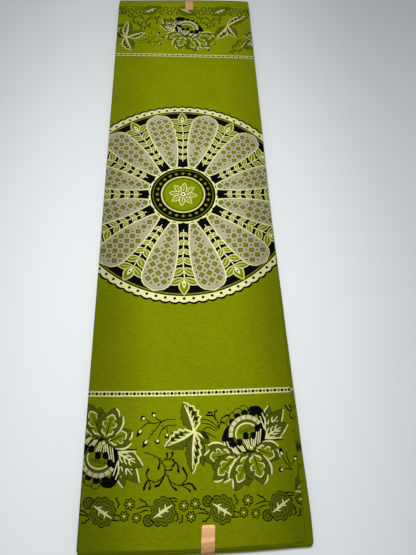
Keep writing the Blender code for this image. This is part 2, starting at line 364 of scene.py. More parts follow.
# The rim and the heart of a lobed leaf, as shares of its width and length
lobedRim = (
    (0.0, 0.0), (-0.17, 0.06), (-0.36, 0.20), (-0.49, 0.40), (-0.52, 0.60), (-0.44, 0.79),
    (-0.29, 0.77), (-0.20, 0.91), (-0.05, 1.0), (0.08, 0.97), (0.19, 0.84), (0.28, 0.77),
    (0.45, 0.77), (0.52, 0.58), (0.48, 0.38), (0.35, 0.19), (0.16, 0.05),
)
heartHalf = (
    (-0.07, 0.15), (-0.20, 0.20), (-0.23, 0.31), (-0.10, 0.36), (-0.25, 0.42), (-0.27, 0.54),
    (-0.12, 0.56), (-0.19, 0.65), (-0.10, 0.74),
)
heartRim = ((0.0, 0.06), *heartHalf, (0.0, 0.79), *((-x, t) for x, t in reversed(heartHalf)))


def lobedRimAt(length, wide, bend, grow, picked=lobedRim):
    # Such a rim at a leaf's own size, grown all round
    across, along = wide + 2 * grow, (length + 2 * grow) / length
    return [(x * across + bend * length * t * t, (0.5 + (t - 0.5) * along) * length)
            for x, t in picked]


def lobedLeaf(length, wide, bend=0.0, side=1):
    # A broad leaf with three blunt points, finely shaded, a lobed cream heart and a cream edge
    motif = [("dark", curve(lobedRimAt(length, wide, bend, 0.8), 2, True)),
             ("shade", curve(lobedRimAt(length, wide, bend, -0.1), 2, True))]
    for ink, grow in (("cream", 1.6), ("green", -1.5)):
        motif.append((ink, curve(lobedRimAt(length, wide, bend, grow, heartRim), 2, True)))
    motif.append(("dark", line([(0, length * 0.03), (bend * length * 0.15, length * 0.38),
                                (bend * length * 0.45, length * 0.68)], 1.3, 0.7, 1.5)))
    rim = lobedRimAt(length, wide, bend, 0.4)
    edge, tip = (rim[2:6], rim[6:9]) if side < 0 else (rim[15:11:-1], rim[11:8:-1])
    motif.append(("cream", line(edge, 2.9, 2.0, 1.0, 3)))
    motif.append(("cream", line(tip, 2.6, 1.6, 1.0, 3)))
    return motif


def veinLeaf(length, wide, bend=0.0, side=1):
    # A pointed leaf, finely shaded, with a branching cream vein and a cream edge
    motif = [("dark", blade(length, wide, bend, grow=0.8)),
             ("shade", blade(length, wide, bend)),
             ("cream", line([(0, 0), (bend * length * 0.12, length * 0.35),
                             (bend * length * 0.56, length * 0.74)], 2.7, 1.2, 2.8))]
    for step, t in enumerate((0.22, 0.38, 0.54)):
        for way in (-1, 1):
            at = (bend * length * t * t, length * t)
            reach = wide * (0.30 - 0.05 * step)
            motif.append(("cream", line([at, (at[0] + way * reach * 0.7, at[1] + reach * 0.6),
                                         (at[0] + way * reach, at[1] + reach * 1.4)], 2.0, 1.3)))
    motif.append(("cream", line(edgeOf(length, wide, bend, side, 0.55, 0.99, out=0.2, count=8),
                                2.1, 1.6, 0.6, steps=1)))
    return motif


def sawLeaf(length, wide, bend=0.0, side=1):
    # A saw-edged leaf: one half shaded, the other light, with a toothed cream edge, a dark web
    # and a cream vein whose long barbs lean towards the tip
    motif = [("dark", blade(length, wide, bend, grow=0.9, lobes=4, deep=0.30, saw=True, count=24)),
             ("shade", blade(length, wide, bend, lobes=4, deep=0.30, saw=True, count=24))]
    rim = toothedEdge(length, wide, bend, side, 0.84, 1.12)
    midrib = [(bend * length * t * t, length * t) for t in (0.9, 0.7, 0.5, 0.3, 0.1)]
    motif.append(("green", rim + midrib))
    web = toothedEdge(length, wide, bend, side, 0.56, 0.84)[1:-1]
    web += toothedEdge(length, wide, bend, side, 0.36, 0.18)[-2:0:-1]
    motif.append(("web", web))
    for k in range(4):
        t = 0.12 + 0.17 * k
        root = (bend * length * t * t, length * t)
        tip = edgeSpot(length, wide, bend, side, t + 0.17, 0.44)
        motif.append(("cream", line([root, tip], 2.1, 0.9)))
    motif.append(("cream", line([(0, 0), (bend * length * 0.16, length * 0.4),
                                 (bend * length * 0.81, length * 0.9)], 3.2, 1.0, 3.4)))
    motif.append(("cream", line([(0, 0)] + rim + [(bend * length, length)], 2.7, 1.5, 2.2, 1)))
    return motif


def foldedLeaf(length, wide, bend=0.0, side=1):
    # A leaf seen half from behind: saw-edged and shaded, with one short cream vein
    return [("dark", blade(length, wide, bend, 1.0, lobes=3, deep=0.30, saw=True, count=18)),
            ("shade", blade(length, wide, bend, -0.2, lobes=3, deep=0.30, saw=True, count=18)),
            ("web", edgeOf(length, wide, bend, side, 0.2, 0.9, 6) + [(0, length * 0.3)]),
            ("cream", line([(0, 0), (side * 0.5, length * 0.3),
                            (bend * length * 0.4, length * 0.55)], 3.0, 1.0))]


def strokes(ink, wide, paths, end=None):
    # Plain brush lines, a little thinner at the root
    stop = wide * 0.7 if end is None else end
    return [(ink, line(path, wide, stop, wide * 0.7)) for path in paths]


def barbed(ink, path, wide, barb=2.8, end=None):
    # A stroke with short barbs on alternate sides
    motif = strokes(ink, wide, [path], end)
    spine = curve(path, 4)
    for k in range(1, len(spine) - 1, 2):
        x, y = spine[k]
        dx, dy = spine[k + 1][0] - x, spine[k + 1][1] - y
        dx, dy = dx / hypot(dx, dy), dy / hypot(dx, dy)
        way = barb if k % 4 == 1 else -barb
        motif.append((ink, [(x - 0.75 * dx, y - 0.75 * dy), (x + 0.75 * dx, y + 0.75 * dy),
                            (x + 1.5 * dx - way * dy, y + 1.5 * dy + way * dx),
                            (x + 0.4 * dx - way * dy, y + 0.4 * dy + way * dx)]))
    return motif


def berry(at, toward, radius=3.7, pointed=False):
    # A dark berry or a pointed bud, cream on the side of its stalk
    dx, dy = toward[0] - at[0], toward[1] - at[1]
    run = hypot(dx, dy)
    turn = atan2(dx, -dy) * 180 / pi
    if pointed:
        return put([("dark", blade(radius * 3.4, radius * 2.1, full=0.5)),
                    ("cream", disc(0, radius * 0.7, radius * 0.55, 8, radius * 0.75))], at, turn)
    return [("dark", disc(*at, radius)),
            ("cream", disc(at[0] + dx / run * radius * 0.35, at[1] + dy / run * radius * 0.35,
                           radius * 0.55, 8))]


def berrySprig():
    # Forked stems that reach to the left of (0, 0), each with a berry or a bud
    motif = strokes("dark", 1.6, [
        [(0, 4), (-18, 3), (-31, -11), (-41, -23)], [(-16, 3), (-34, -1), (-46, 6)],
        [(-22, 2), (-28, 5), (-32, 11)], [(1, -4), (-14, -5), (-22, -13), (-26, -24)],
        [(-13, -5), (-12, -16)], [(-52, -9), (-45, -2), (-38, -1)]])
    motif += strokes("dark", 1.3, [
        [(-46, -4), (-40, 1)], [(-38, -15), (-33, -17)], [(-36, -11), (-31, -12)],
        [(-17, -4), (-22, -5)], [(-16, -8), (-20, -10)], [(-24, 4), (-20, 0)]])
    motif += strokes("dark", 1.4, [[(-8, -15), (4, -13)]])
    for at, toward, pointed in (((-42, -25), (-38, -19), True), ((-49, 7), (-42, 3), False),
                                ((-33, 12), (-28, 4), False), ((-27, -27), (-24, -18), False),
                                ((-13, -19), (-12, -12), False), ((-51, -10), (-47, -4), True)):
        motif += berry(at, toward, pointed=pointed)
    return motif


def budSprig():
    # A short forked sprig upwards from (0, 0) with a bud and two berries
    motif = strokes("dark", 1.6, [[(0, 0), (-10, 12), (-13, 21)], [(-2, 6), (-6, 16), (-7, 25)],
                                  [(-1, 7), (6, 15)], [(0, 0), (-8, 2), (-15, 1)]])
    motif += berry((-13.5, 21), (-12, 14), 3.4, True) + berry((6.5, 16), (1, 9), 3.5)
    return motif + berry((-17, 1), (-10, 2), 3.5)


def clubTwig():
    # A feathery twig with curling club-ended shoots, about (0, 0)
    long = [
        [(-33, 24), (-13, 17), (-4, 7), (-1, -3), (-8, -18), (-15, -22)],
        [(-1, -6), (-13, -16), (-26, -14), (-31, -26)],
        [(0, -5), (9, -18), (22, -21), (34, -19), (42, -27)],
        [(-5, 12), (7, 14), (16, 7), (18, -4)],
    ]
    short = [
        [(-24, -14), (-28, -6), (-25, 1)], [(21, -21), (30, -11), (24, 2)],
        [(2, -8), (8, -21), (15, -27)], [(-12, 17), (-9, 10), (-11, 1)],
        [(-1, 13), (2, 17), (1, 22)], [(5, 14), (9, 18), (9, 23)], [(8, 13), (12, 8), (9, 4)],
        [(22, -21), (31, -26), (34, -29)], [(-24, -15), (-22, -20), (-23, -25)],
        [(-2, -1), (5, -1), (8, 0)],
    ]
    motif = []
    for path in long:                                    # thin at the root, thick at the tip
        motif += barbed("dark", path, 1.5, 2.7, 3.3)
    return motif + strokes("dark", 1.8, short, 3.6)


def grassTuft():
    # Loose blades to the left of (0, 0) and curling shoots above it
    motif = strokes("dark", 1.6, [
        [(-29, 15), (-14, 12), (0, 0)], [(-28, 9), (-15, 7), (-3, -1)],
        [(-25, -1), (-17, 3), (-6, -3)], [(-20, -4), (-12, -9), (-5, -13)]])
    shoots = [[(0, 0), (-3, 11), (-9, 19), (-19, 20)], [(-4, 13), (-7, 22), (-3, 27)],
              [(0, 1), (3, 13), (9, 18), (15, 19)], [(1, 8), (4, 9), (8, 8)],
              [(-8, 18), (-12, 24), (-16, 24)]]
    for path in shoots:
        motif += barbed("dark", path, 1.5, 2.4, 3.0)
    return motif


def bloom():
    # A half-open bloom seen from its side: its base at (0, 0), its dome above it to the left
    motif = []
    for tip, wide, bend, side in (((31, 60), 20, -0.12, -1), ((53, 54), 25, 0.06, 1),
                                  ((58, 32), 24, 0.10, 1)):
        motif += span(veinLeaf, (15, 10), tip, wide, bend, side)
    motif += strokes("dark", 1.5, [[(16, 13), (32, 10), (49, 9)]])
    motif += strokes("cream", 2.4, [[(14, 14), (30, 12), (47, 12.5)]], 1.4)
    for x, y in ((-29, 37), (-23, 46), (-8, 55), (6, 53), (-17, 51)):    # scalloped back petals
        motif += [("dark", disc(x, y, 7.4, 14)), ("green", disc(x, y, 6.2, 14))]
    for x, y in ((-26, 38), (-18, 46), (-7, 50.5), (5, 49)):
        motif += [("dark", disc(x, y, 5.4, 12, 5.0))]
    for hood in ([(-2, 54), (6, 60), (15, 60), (22, 53), (24, 44), (20, 33), (15, 38), (12, 47),
                  (5, 52)],
                 [(-43, 11), (-41, 22), (-34, 32), (-26, 33), (-23, 25), (-28, 14), (-28, 9),
                  (-35, 6)]):
        motif.append(("dark", curve(hood, 3, True)))
    middleX, middleY = -5.0, 20.0
    motif.append(("dark", disc(middleX, middleY, 27.4, 30)))
    for k in range(30):                                  # the cream fringe
        angle = radians(186 - 148 * k / 29)
        c, s = cos(angle), sin(angle)
        motif.append(("beige" if k % 4 == 3 else "cream",
                      line([(middleX + 21.5 * c, middleY + 21.5 * s),
                            (middleX + 27.0 * c, middleY + 27.0 * s)], 1.65, 1.7)))
    motif += [("shade", disc(middleX, middleY, 21.5, 32)),
              ("green", disc(middleX, middleY, 16.4, 28))]
    rim = [(middleX + 17.0 * cos(radians(a)), middleY + 15.5 * sin(radians(a)))
           for a in range(200, 15, -15)]
    motif.append(("cream", line(rim, 2.2, 1.6, 1.6, steps=2)))
    for k in range(9):
        x = -15 + 2.6 * k
        tip = (x + 0.4, 27 + 0.4 * k - 0.12 * (k - 4) ** 2)
        motif.append(("dark", line([(x, 21 + 0.5 * k), tip], 1.1)))
    for k in range(10):
        angle = radians(176 - 14 * k)
        motif.append(("dark", disc(middleX + 12.6 * cos(angle), middleY + 11.4 * sin(angle),
                                   0.75, 5)))
    fingers = [((-40, 10), (-33, -5)), ((-35.5, 10), (-29.5, -6)), ((-31, 9), (-26, -7)),
               ((20, 49), (25, 33)), ((16.5, 44), (21.5, 26)), ((23.5, 42), (23, 24)),
               ((10, 24), (6, 5)), ((13, 25), (9.5, 4)), ((16, 26), (13, 7))]
    motif.append(("dark", [(-43, 12), (-28, 12), (-24, -8), (-33, -8)]))
    motif.append(("dark", [(7, 26), (18, 29), (15, 4), (4, 2)]))
    for x, y, footX, footY in ((-27, 5, -20, -7), (-17, 7, -11, -4), (-7, 15, -3, -1),
                               (4, 16, 3, 2)):
        motif.append(("dark", [(x - 5, y), (x + 5, y), (footX + 3.5, footY),
                               (footX - 3.5, footY - 1)]))
        for step in (-1, 0, 1):
            fingers.append(((x + step * 3.2, y - 3), (footX + step * 1.9, footY)))
    for start, stop in fingers:
        motif.append(("cream", line([start, stop], 1.7, 1.5)))
    for x, y in ((-27, 6), (-17, 8), (-7, 17), (4, 17), (11, 27)):       # the front's dark tips
        motif.append(("dark", curve([(x, y + 6), (x + 4.6, y + 3), (x + 3.0, y - 3), (x, y - 5),
                                     (x - 3.0, y - 3), (x - 4.6, y + 3)], 2, True)))
    for base, tip, wide, bend, side in (
            ((-27, -7), (-70, -10), 37, 0.10, 1), ((-22, -9), (-57, -41), 30, -0.05, -1),
            ((-3, -6), (-28, -55), 33, 0.06, 1), ((5, 0), (40, -16), 35, -0.06, -1),
            ((2, -5), (14, -49), 36, -0.06, -1)):
        motif += span(lobedLeaf, base, tip, wide, bend, side)
    return motif + [("green", disc(0, 0, 4.0)), ("cream", disc(0, 0.5, 2.2, 9))]


def leafSpray():
    # Five saw-edged leaves about (0, 0), two of them seen half from behind
    motif = []
    for drawLeaf, base, tip, wide, bend, side in (
            (foldedLeaf, (3, -2), (22, -18), 17, 0.1, -1),
            (foldedLeaf, (5, -8), (13, -48), 17, -0.1, 1),
            (sawLeaf, (0, 1), (-16, 42), 29, -0.16, 1),
            (sawLeaf, (-2, -2), (-43, -21), 27, 0.16, 1),
            (sawLeaf, (1, -3), (-3, -58), 22, -0.08, -1)):
        motif += span(drawLeaf, base, tip, wide, bend, side)
    return motif + [("cream", disc(0, 0, 2.8, 10))]


def slimSpray():
    # Three saw-edged leaves about (0, 0), one of them long and slim
    motif = []
    for tip, wide, bend, side in (((-47, -36), 23, 0.12, -1), ((33, 47), 29, 0.10, -1),
                                  ((-20, 40), 25, -0.12, 1)):
        motif += span(sawLeaf, (0, 0), tip, wide, bend, side)
    return motif + [("cream", disc(0, 0, 2.8, 10))]


def scalloped(corners, swell, steps=4):
    # A closed outline that bulges outwards between each two corners, given clockwise
    points = []
    for (ax, ay), (bx, by) in zip(corners, corners[1:] + corners[:1]):
        for step in range(steps):
            t = step / steps
            out = swell * 4 * t * (1 - t)
            points.append((ax + (bx - ax) * t - (by - ay) * out,
                           ay + (by - ay) * t + (bx - ax) * out))
    return points


def smallFlower(size=1.0):
    # Seven round petals in outline about a small cream eye
    corners = [(6.3 * size * cos(angle), -6.3 * size * sin(angle)) for angle in
               (2 * pi * k / 7 for k in range(7))]
    motif = [("dark", scalloped(corners, 0.46))]
    for k in range(7):
        angle = 2 * pi * (k + 0.5) / 7
        x, y = 4.9 * size * cos(angle), -4.9 * size * sin(angle)
        motif.append(("green", disc(x, y, 1.55 * size, 7)))
    return motif + [("green", disc(0, 0, 3.5 * size, 8)), ("cream", disc(0, 0, 1.4 * size, 7))]


cloudCorners = [(-12, 13), (-2, 16.5), (8, 14), (14.5, 7), (15.5, -2), (11.5, -10), (5, -15.5),
                (-5, -14), (-12, -7), (-14.5, 2)]


def cloudLeaf():
    # A leaf like a cloud: round lobes in outline with finer contours within, a thorny cream vein
    motif = []
    for ink, share in (("dark", 1.10), ("veil", 0.96), ("dark", 0.70), ("veil", 0.62)):
        motif.append((ink, disc(-19.5, 11.5, 6.8 * share + (share - 1) * 4, 14)))
    for ink, share in (("dark", 1.06), ("veil", 0.985), ("dark", 0.78), ("veil", 0.735),
                       ("dark", 0.52), ("veil", 0.475)):
        motif.append((ink, scalloped([(x * share, y * share) for x, y in cloudCorners], 0.34)))
    motif.append(("cream", line([(-12, 8), (-4, 3), (4, -2), (13, -7)], 4.0, 1.2, 1.2)))
    for x, y, toX, toY in ((-7, 5, -1, 7), (-4, 2, -5, -4), (2, -1, 8, 1), (4, -2, 3, -8)):
        motif.append(("cream", line([(x, y), (toX, toY)], 2.5, 0.9)))
    return motif


# The two borders, in millimetres and degrees
border = {
    "repeat": 432,                      # of the large motifs
    "beads": 374.7, "middle": 7.0,      # how far the beaded lines lie from the print's middle
    "beadStep": 11.4, "rowStep": 165,
    "nearRow": 160, "farRow": 153,      # how far each narrow row lies from its beaded line
    "farShift": -140, "farRowShift": 33, "farTurn": -0.65,
}


def borderStretch():
    # One repeat of the large motifs, with the beaded line at Y = 0 and outward along -Y, so that
    # a motif drawn upright stands towards the middle of the cloth
    motif = []
    for maker, at, turn, size, flip in (
            (grassTuft, (37, -54), 0, 1, False), (berrySprig, (-28, -43), 0, 1, False),
            (clubTwig, (-42, -108), 0, 1, False), (leafSpray, (-1, -56), 0, 1, False),
            (bloom, (83, -83), 0, 1, False), (budSprig, (141, -116), 0, 1, False),
            (clubTwig, (168, -40), 190, 0.8, True),
            (slimSpray, (198, -105), 0, 1, False), (clubTwig, (238, -112), 0, 0.8, False),
            (budSprig, (246, -52), 30, 1, True), (bloom, (299, -71), 180, 1, True)):
        motif += put(maker(), at, turn, size, flip)
    return motif


rowTwigs = (
    # barbed twigs in one repeat of the narrow row: from, bend, to
    ((86, 14), (92, 12), (98, 7)), ((57, 3), (58, 9), (53, 16)),
    ((-27, -4), (-25, -9), (-28, -15)), ((-20, -6), (-19, -12), (-23, -17)),
    ((1, 3), (8, 0), (18, -5)), ((8, -16), (14, -14), (19, -9)),
)
rowBlades = (
    ((83, 2), (92, 5), (102, 5)), ((87, -3), (94, 0), (99, 0)),
    ((-39, 14), (-32, 15), (-25, 13)), ((-35, 10), (-30, 11), (-25, 10)),
    ((1, -5), (10, -5), (19, -8)), ((49, -6), (54, -5), (60, -7)),
    ((50, -12), (54, -12), (59, -12)),
)
rowFlowers = (((-17, 5), 0.95), ((-1, 7), 0.95), ((-7, -9), 0.95), ((73, 8), 1.0),
              ((66, -7), 0.9), ((83, -9), 0.85))


def narrowRow(low, high):
    # The row of cloud leaves and small flowers below each border's large motifs
    motif = []
    for k in range(floor(low / border["rowStep"]) - 1, ceil(high / border["rowStep"]) + 1):
        x = border["rowStep"] * k
        for path in rowTwigs:
            motif += barbed("dark", [(x + px, py) for px, py in path], 1.7, 2.7)
        motif += strokes("dark", 1.8, [[(x + px, py) for px, py in path] for path in rowBlades])
        motif += put(cloudLeaf(), (x + 36, -2)) + put(cloudLeaf(), (x - 46, -1), 180, 1, True)
        for at, size in rowFlowers:
            motif += put(smallFlower(size), (x + at[0], at[1]), 31 * at[0])
    return motif


def beadedLine(low, high):
    # A cream line with dark beads and green lozenges in turn
    motif = [("cream", [(low, -4.1), (high, -4.1), (high, 4.1), (low, 4.1)])]
    for k in range(ceil((high - low) / border["beadStep"])):
        x = low + border["beadStep"] * (k + 0.5)
        motif.append(("green", [(x - 3.1, 0), (x - 1.2, -2.3), (x + 1.2, -2.3), (x + 3.1, 0),
                                (x + 1.2, 2.3), (x - 1.2, 2.3)]))
        motif.append(("dark", disc(x + 5.7, 0, 2.5, 8)))
    return motif


# The round medallion, in millimetres and degrees
medallion = {
    "radius": 223, "at": (-13.4, 3.5), "turn": 15, "scallops": 84,
    "petals": 12, "petalStart": 66, "petalStop": 205, "petalWide": 54, "pitch": 14.0,
    "hub": 56, "beads": 24, "starPoints": 8,
}


def inside(points, x, y):
    # Whether a place lies within an outline
    found = False
    for (ax, ay), (bx, by) in zip(points, points[1:] + points[:1]):
        if (ay > y) != (by > y) and x < (bx - ax) * (y - ay) / (by - ay) + ax:
            found = not found
    return found


def ringPoints(radius, count, lobes=0, deep=0.0):
    # A circle about (0, 0), with scallops at will
    points = []
    for k in range(count):
        angle = 2 * pi * k / count
        r = radius * (1 + deep * abs(sin(lobes * angle / 2)))
        points.append((r * cos(angle), r * sin(angle)))
    return points


def latticePetal():
    # One petal of the medallion, along +Y: cream rim, beige field, green diamonds in a lattice
    start, stop, wide = (medallion[k] for k in ("petalStart", "petalStop", "petalWide"))
    length, widest = stop - start, 0.8       # it swells up to that share, then closes round

    def halfAt(t):
        return wide / 2 * (0.22 + 0.78 * sin(pi * 0.62 * t ** 0.9))

    def outline(grow):
        side = []
        for k in range(25):
            t = k / 24
            if t < widest:
                half = halfAt(t)
            else:
                half = halfAt(widest) * sqrt(max(0, 1 - ((t - widest) / (1 - widest)) ** 2))
            side.append((half + grow if half > 0.5 else 0.0,
                         start + length * t + (grow if k == 24 else 0)))
        side[0] = (side[0][0], start - grow)
        return [(-x, y) for x, y in side] + side[-2::-1]

    def diamond(x, y, half):
        return [(x, y - half), (x + half, y), (x, y + half), (x - half, y)]

    field = outline(-1.3)
    motif = [("cream", outline(0.9)), ("beige", field)]
    pitch = medallion["pitch"]
    for row in range(int(length / pitch * 2)):
        for column in range(-3, 4):
            x = (column + 0.5 * (row % 2)) * pitch
            y = start + 7 + row * pitch * 0.5
            big = row % 2 == 0
            half = pitch * (0.30 if big else 0.13)
            if all(inside(field, px, py) for px, py in diamond(x, y, half * 1.3)):
                if big:
                    motif += [("dark", diamond(x, y, half + 1.3)), ("green", diamond(x, y, half))]
                else:
                    motif.append(("dark", diamond(x, y, half)))
    return motif


def sprigBetween():
    # What fills the dark ground between two petals: a stem with paired leaves and a bud
    motif = [("cream", line([(0, 78), (0, 104), (1.5, 140), (-1, 178), (0, 196)], 2.2, 1.4, 1.4))]
    for y, length, wide, turn in ((84, 10, 6, 34), (100, 12, 7, 36), (118, 15, 7.5, 38),
                                  (136, 20, 10, 44), (156, 25, 12, 50), (176, 28, 12, 62)):
        for way in (-1, 1):
            motif += put([("cream", blade(length, wide, 0.12 * way, grow=1.0)),
                          ("green", blade(length, wide, 0.12 * way, grow=-0.6)),
                          ("cream", line([(0, 2), (0.05 * way * length, length * 0.66)],
                                         1.2, 0.8))], (0, y), -turn * way)
    return motif + put([("cream", blade(26, 17, full=0.7, grow=1.0)),
                        ("green", blade(26, 17, full=0.7, grow=-0.8)),
                        ("cream", blade(15, 7, full=0.7)), ("dark", disc(0, 7, 1.6, 7))], (0, 180))


def roundMedallion():
    # A scalloped rim with dots, petals with sprigs between them, and a star in a beaded hub
    radius, petals, scallops, hub, beads, starPoints = (
        medallion[k] for k in ("radius", "petals", "scallops", "hub", "beads", "starPoints"))
    motif = [("dark", ringPoints(radius * 0.992, 336, scallops, 0.016)),
             ("cream", ringPoints(radius * 0.978, 336, scallops, 0.012)),
             ("dark", ringPoints(radius * 0.936, 168)),
             ("green", ringPoints(radius * 0.925, 168)),
             ("dark", ringPoints(radius * 0.915, 168))]
    for k in range(scallops):                            # the dots in the cream rim
        angle = 2 * pi * (k + 0.5) / scallops
        far = radius * 0.957
        motif.append(("dark", disc(far * cos(angle), far * sin(angle), 2.7, 7)))
    for k in range(petals):
        turn = 360 * k / petals
        motif += put(sprigBetween(), turn=turn + 180 / petals)
        motif += put(latticePetal(), turn=turn)
    motif += [("cream", ringPoints(hub + 6.6, 120, 24, 0.04)),
              ("dark", ringPoints(hub + 5.2, 96)), ("green", ringPoints(hub + 1.2, 96)),
              ("dark", ringPoints(hub, 96))]
    for k in range(beads):                               # green beads round the hub
        angle = 2 * pi * k / beads
        bead = [("green", [(0, -3.6), (3.2, 0), (0, 3.6), (-3.2, 0)])]
        motif += put(bead, ((hub - 7.4) * cos(angle), (hub - 7.4) * sin(angle)), 360 * k / beads)
    motif += [("cream", ringPoints(hub - 14.5, 72)), ("green", ringPoints(hub - 16.5, 72)),
              ("dark", ringPoints(hub - 19.0, 72)), ("green", ringPoints(hub - 20.2, 72))]
    for k in range(starPoints):
        motif += put([("cream", blade(27, 12, full=0.95)),
                      ("green", blade(27, 12, full=0.95, grow=-1.5)),
                      ("cream", line([(0, 8), (0, 20)], 1.5, 0.7))], turn=45 * k + 22.5)
    return motif + [("dark", disc(0, 0, 6.6, 16)), ("cream", disc(0, 0, 5.2, 14)),
                    ("dark", disc(0, 0, 2.2, 8))]


# Leaves that reach over the right fold: kind, from, to, width, bend and side
reachingLeaves = (
    (sawLeaf, (178, -474), (142, -512), 32, 0.10, -1),
    (veinLeaf, (172, 448), (123, 410), 28, 0.10, 1),
    (lobedLeaf, (178, 452), (131, 455), 26, 0.08, -1),
)
printEnds = 580             # nothing is printed beyond the selvedges
leastShape = 45             # square millimetres, and as many points as a shape may have, for
mostPoints = 12             # the print on the underside, which is drawn plainer


def wholePrint():
    low, high = uStart * 1000 - 5, uEnd * 1000 + 5
    motif = []
    stretch = borderStretch()
    row = narrowRow(low - 90, high + 90)
    for side, lean, turn, shift, out, rowShift in (
            (-1, 0.0, 0, 0, border["nearRow"], 0),
            (1, border["farTurn"], 180 + border["farTurn"], border["farShift"],
             border["farRow"], border["farRowShift"])):
        at = border["middle"] + side * border["beads"]
        motif += put(beadedLine(low - 8, high + 8), (0, at), lean)
        for k in range(-3, 3):
            x = shift + k * border["repeat"]
            motif += put(stretch, (x, at + x * tan(radians(lean))), turn)
        motif += put(row, (rowShift, at + side * out), turn)
    for drawLeaf, base, tip, wide, bend, side in reachingLeaves:
        motif += span(drawLeaf, base, tip, wide, bend, side)
    motif += put(roundMedallion(), medallion["at"], medallion["turn"])
    kept = []
    for ink, points in motif:
        left, right = min(x for x, y in points), max(x for x, y in points)
        bottom, top = min(y for x, y in points), max(y for x, y in points)
        if right < low or left > high or top < -printEnds or bottom > printEnds:
            continue
        if right < uUnder * 1000 - 6:
            if (right - left) * (top - bottom) < leastShape:
                continue
            if len(points) > mostPoints:
                points = points[::2]
        kept.append((ink, points))
    return kept


print("print: drawing")
printed = wholePrint()
print("print:", len(printed), "shapes,", sum(len(points) for ink, points in printed), "points")


# Materials

inks = {
    # colour in linear light, roughness
    "green": ((0.212, 0.250, 0.0008), 0.78),
    "dark": ((0.0020, 0.0030, 0.0026), 0.70),
    "cream": ((0.870, 0.820, 0.380), 0.84),
    "shade": ((0.085, 0.110, 0.0060), 0.76),
    "beige": ((0.450, 0.415, 0.250), 0.84),
    "veil": ((0.110, 0.138, 0.0020), 0.76),
    "web": ((0.020, 0.028, 0.0030), 0.72),
}


def addNode(tree, kind, at=(0, 0), **values):
    node = tree.nodes.new(kind)
    node.location = at
    for name, value in values.items():
        setattr(node, name, value)
    return node


def feed(tree, socket, value):
    # Gives a socket a fixed value, or another node's output
    if isinstance(value, bpy.types.NodeSocket):
        tree.links.new(value, socket)
    else:
        socket.default_value = value


def feedAll(tree, node, values):
    for label, value in values.items():
        feed(tree, node.inputs[label], value)
    return node


def maths(tree, at, operation, *values):
    node = addNode(tree, "ShaderNodeMath", at, operation=operation)
    for socket, value in zip(node.inputs, values):
        feed(tree, socket, value)
    return node.outputs[0]


def scaled(tree, at, vector, by):
    # A vector or colour times one number, or times three
    kind = "MULTIPLY" if isinstance(by, tuple) else "SCALE"
    node = addNode(tree, "ShaderNodeVectorMath", at, operation=kind)
    feed(tree, node.inputs[0], vector)
    feed(tree, node.inputs[1] if kind == "MULTIPLY" else node.inputs["Scale"], by)
    return node.outputs[0]


def remapped(tree, at, value, given, wanted, kind="SMOOTHSTEP"):
    # A value moved from one range to another and kept within it
    node = addNode(tree, "ShaderNodeMapRange", at, interpolation_type=kind)
    feedAll(tree, node, {"Value": value, "From Min": given[0], "From Max": given[1],
                         "To Min": wanted[0], "To Max": wanted[1]})
    return node.outputs[0]


def blended(tree, at, share, first, second):
    node = addNode(tree, "ShaderNodeMix", at, data_type="RGBA")
    for index, value in ((0, share), (6, first), (7, second)):
        feed(tree, node.inputs[index], value)
    return node.outputs[2]


def ramped(tree, at, value, steps, kind="CONSTANT"):
    # The colours of a ramp, given as (place, colour)
    node = addNode(tree, "ShaderNodeValToRGB", at)
    node.color_ramp.interpolation = kind
    elements = node.color_ramp.elements
    while len(elements) < len(steps):
        elements.new(0.5)
    for element, (place, color) in zip(elements, steps):
        element.position = place
        element.color = (*color, 1)
    feed(tree, node.inputs[0], value)
    return node.outputs[0]


def noise(tree, at, place, scale, detail, rough=0.5):
    node = addNode(tree, "ShaderNodeTexNoise", at)
    feedAll(tree, node, {"Vector": place, "Scale": scale, "Detail": detail, "Roughness": rough})
    return node.outputs["Fac"]


def separated(tree, at, vector):
    node = addNode(tree, "ShaderNodeSeparateXYZ", at)
    feed(tree, node.inputs[0], vector)
    return node.outputs


def newGroup(name, inputs, outputs):
    tree = bpy.data.node_groups.new(name, "ShaderNodeTree")
    for label, kind, default in inputs:
        socket = tree.interface.new_socket(label, in_out="INPUT", socket_type=kind)
        socket.default_value = default
    for label, kind in outputs:
        tree.interface.new_socket(label, in_out="OUTPUT", socket_type=kind)
    given = addNode(tree, "NodeGroupInput", (-900, 0)).outputs
    return tree, given, addNode(tree, "NodeGroupOutput", (900, 0))


weaving = {
    "slubs": (900.0, 2.0), "cloud": (14.0, 5.0, 0.62), "mottle": (240.0, 1.0),   # scale, detail
    "slubStretch": (0.12, 1.0, 1.0), "mottleStretch": (0.45, 1.0, 1.0),
    "threadHeight": 0.45, "mottleShare": 1.2, "average": 1.6, "dullness": 0.5,
}


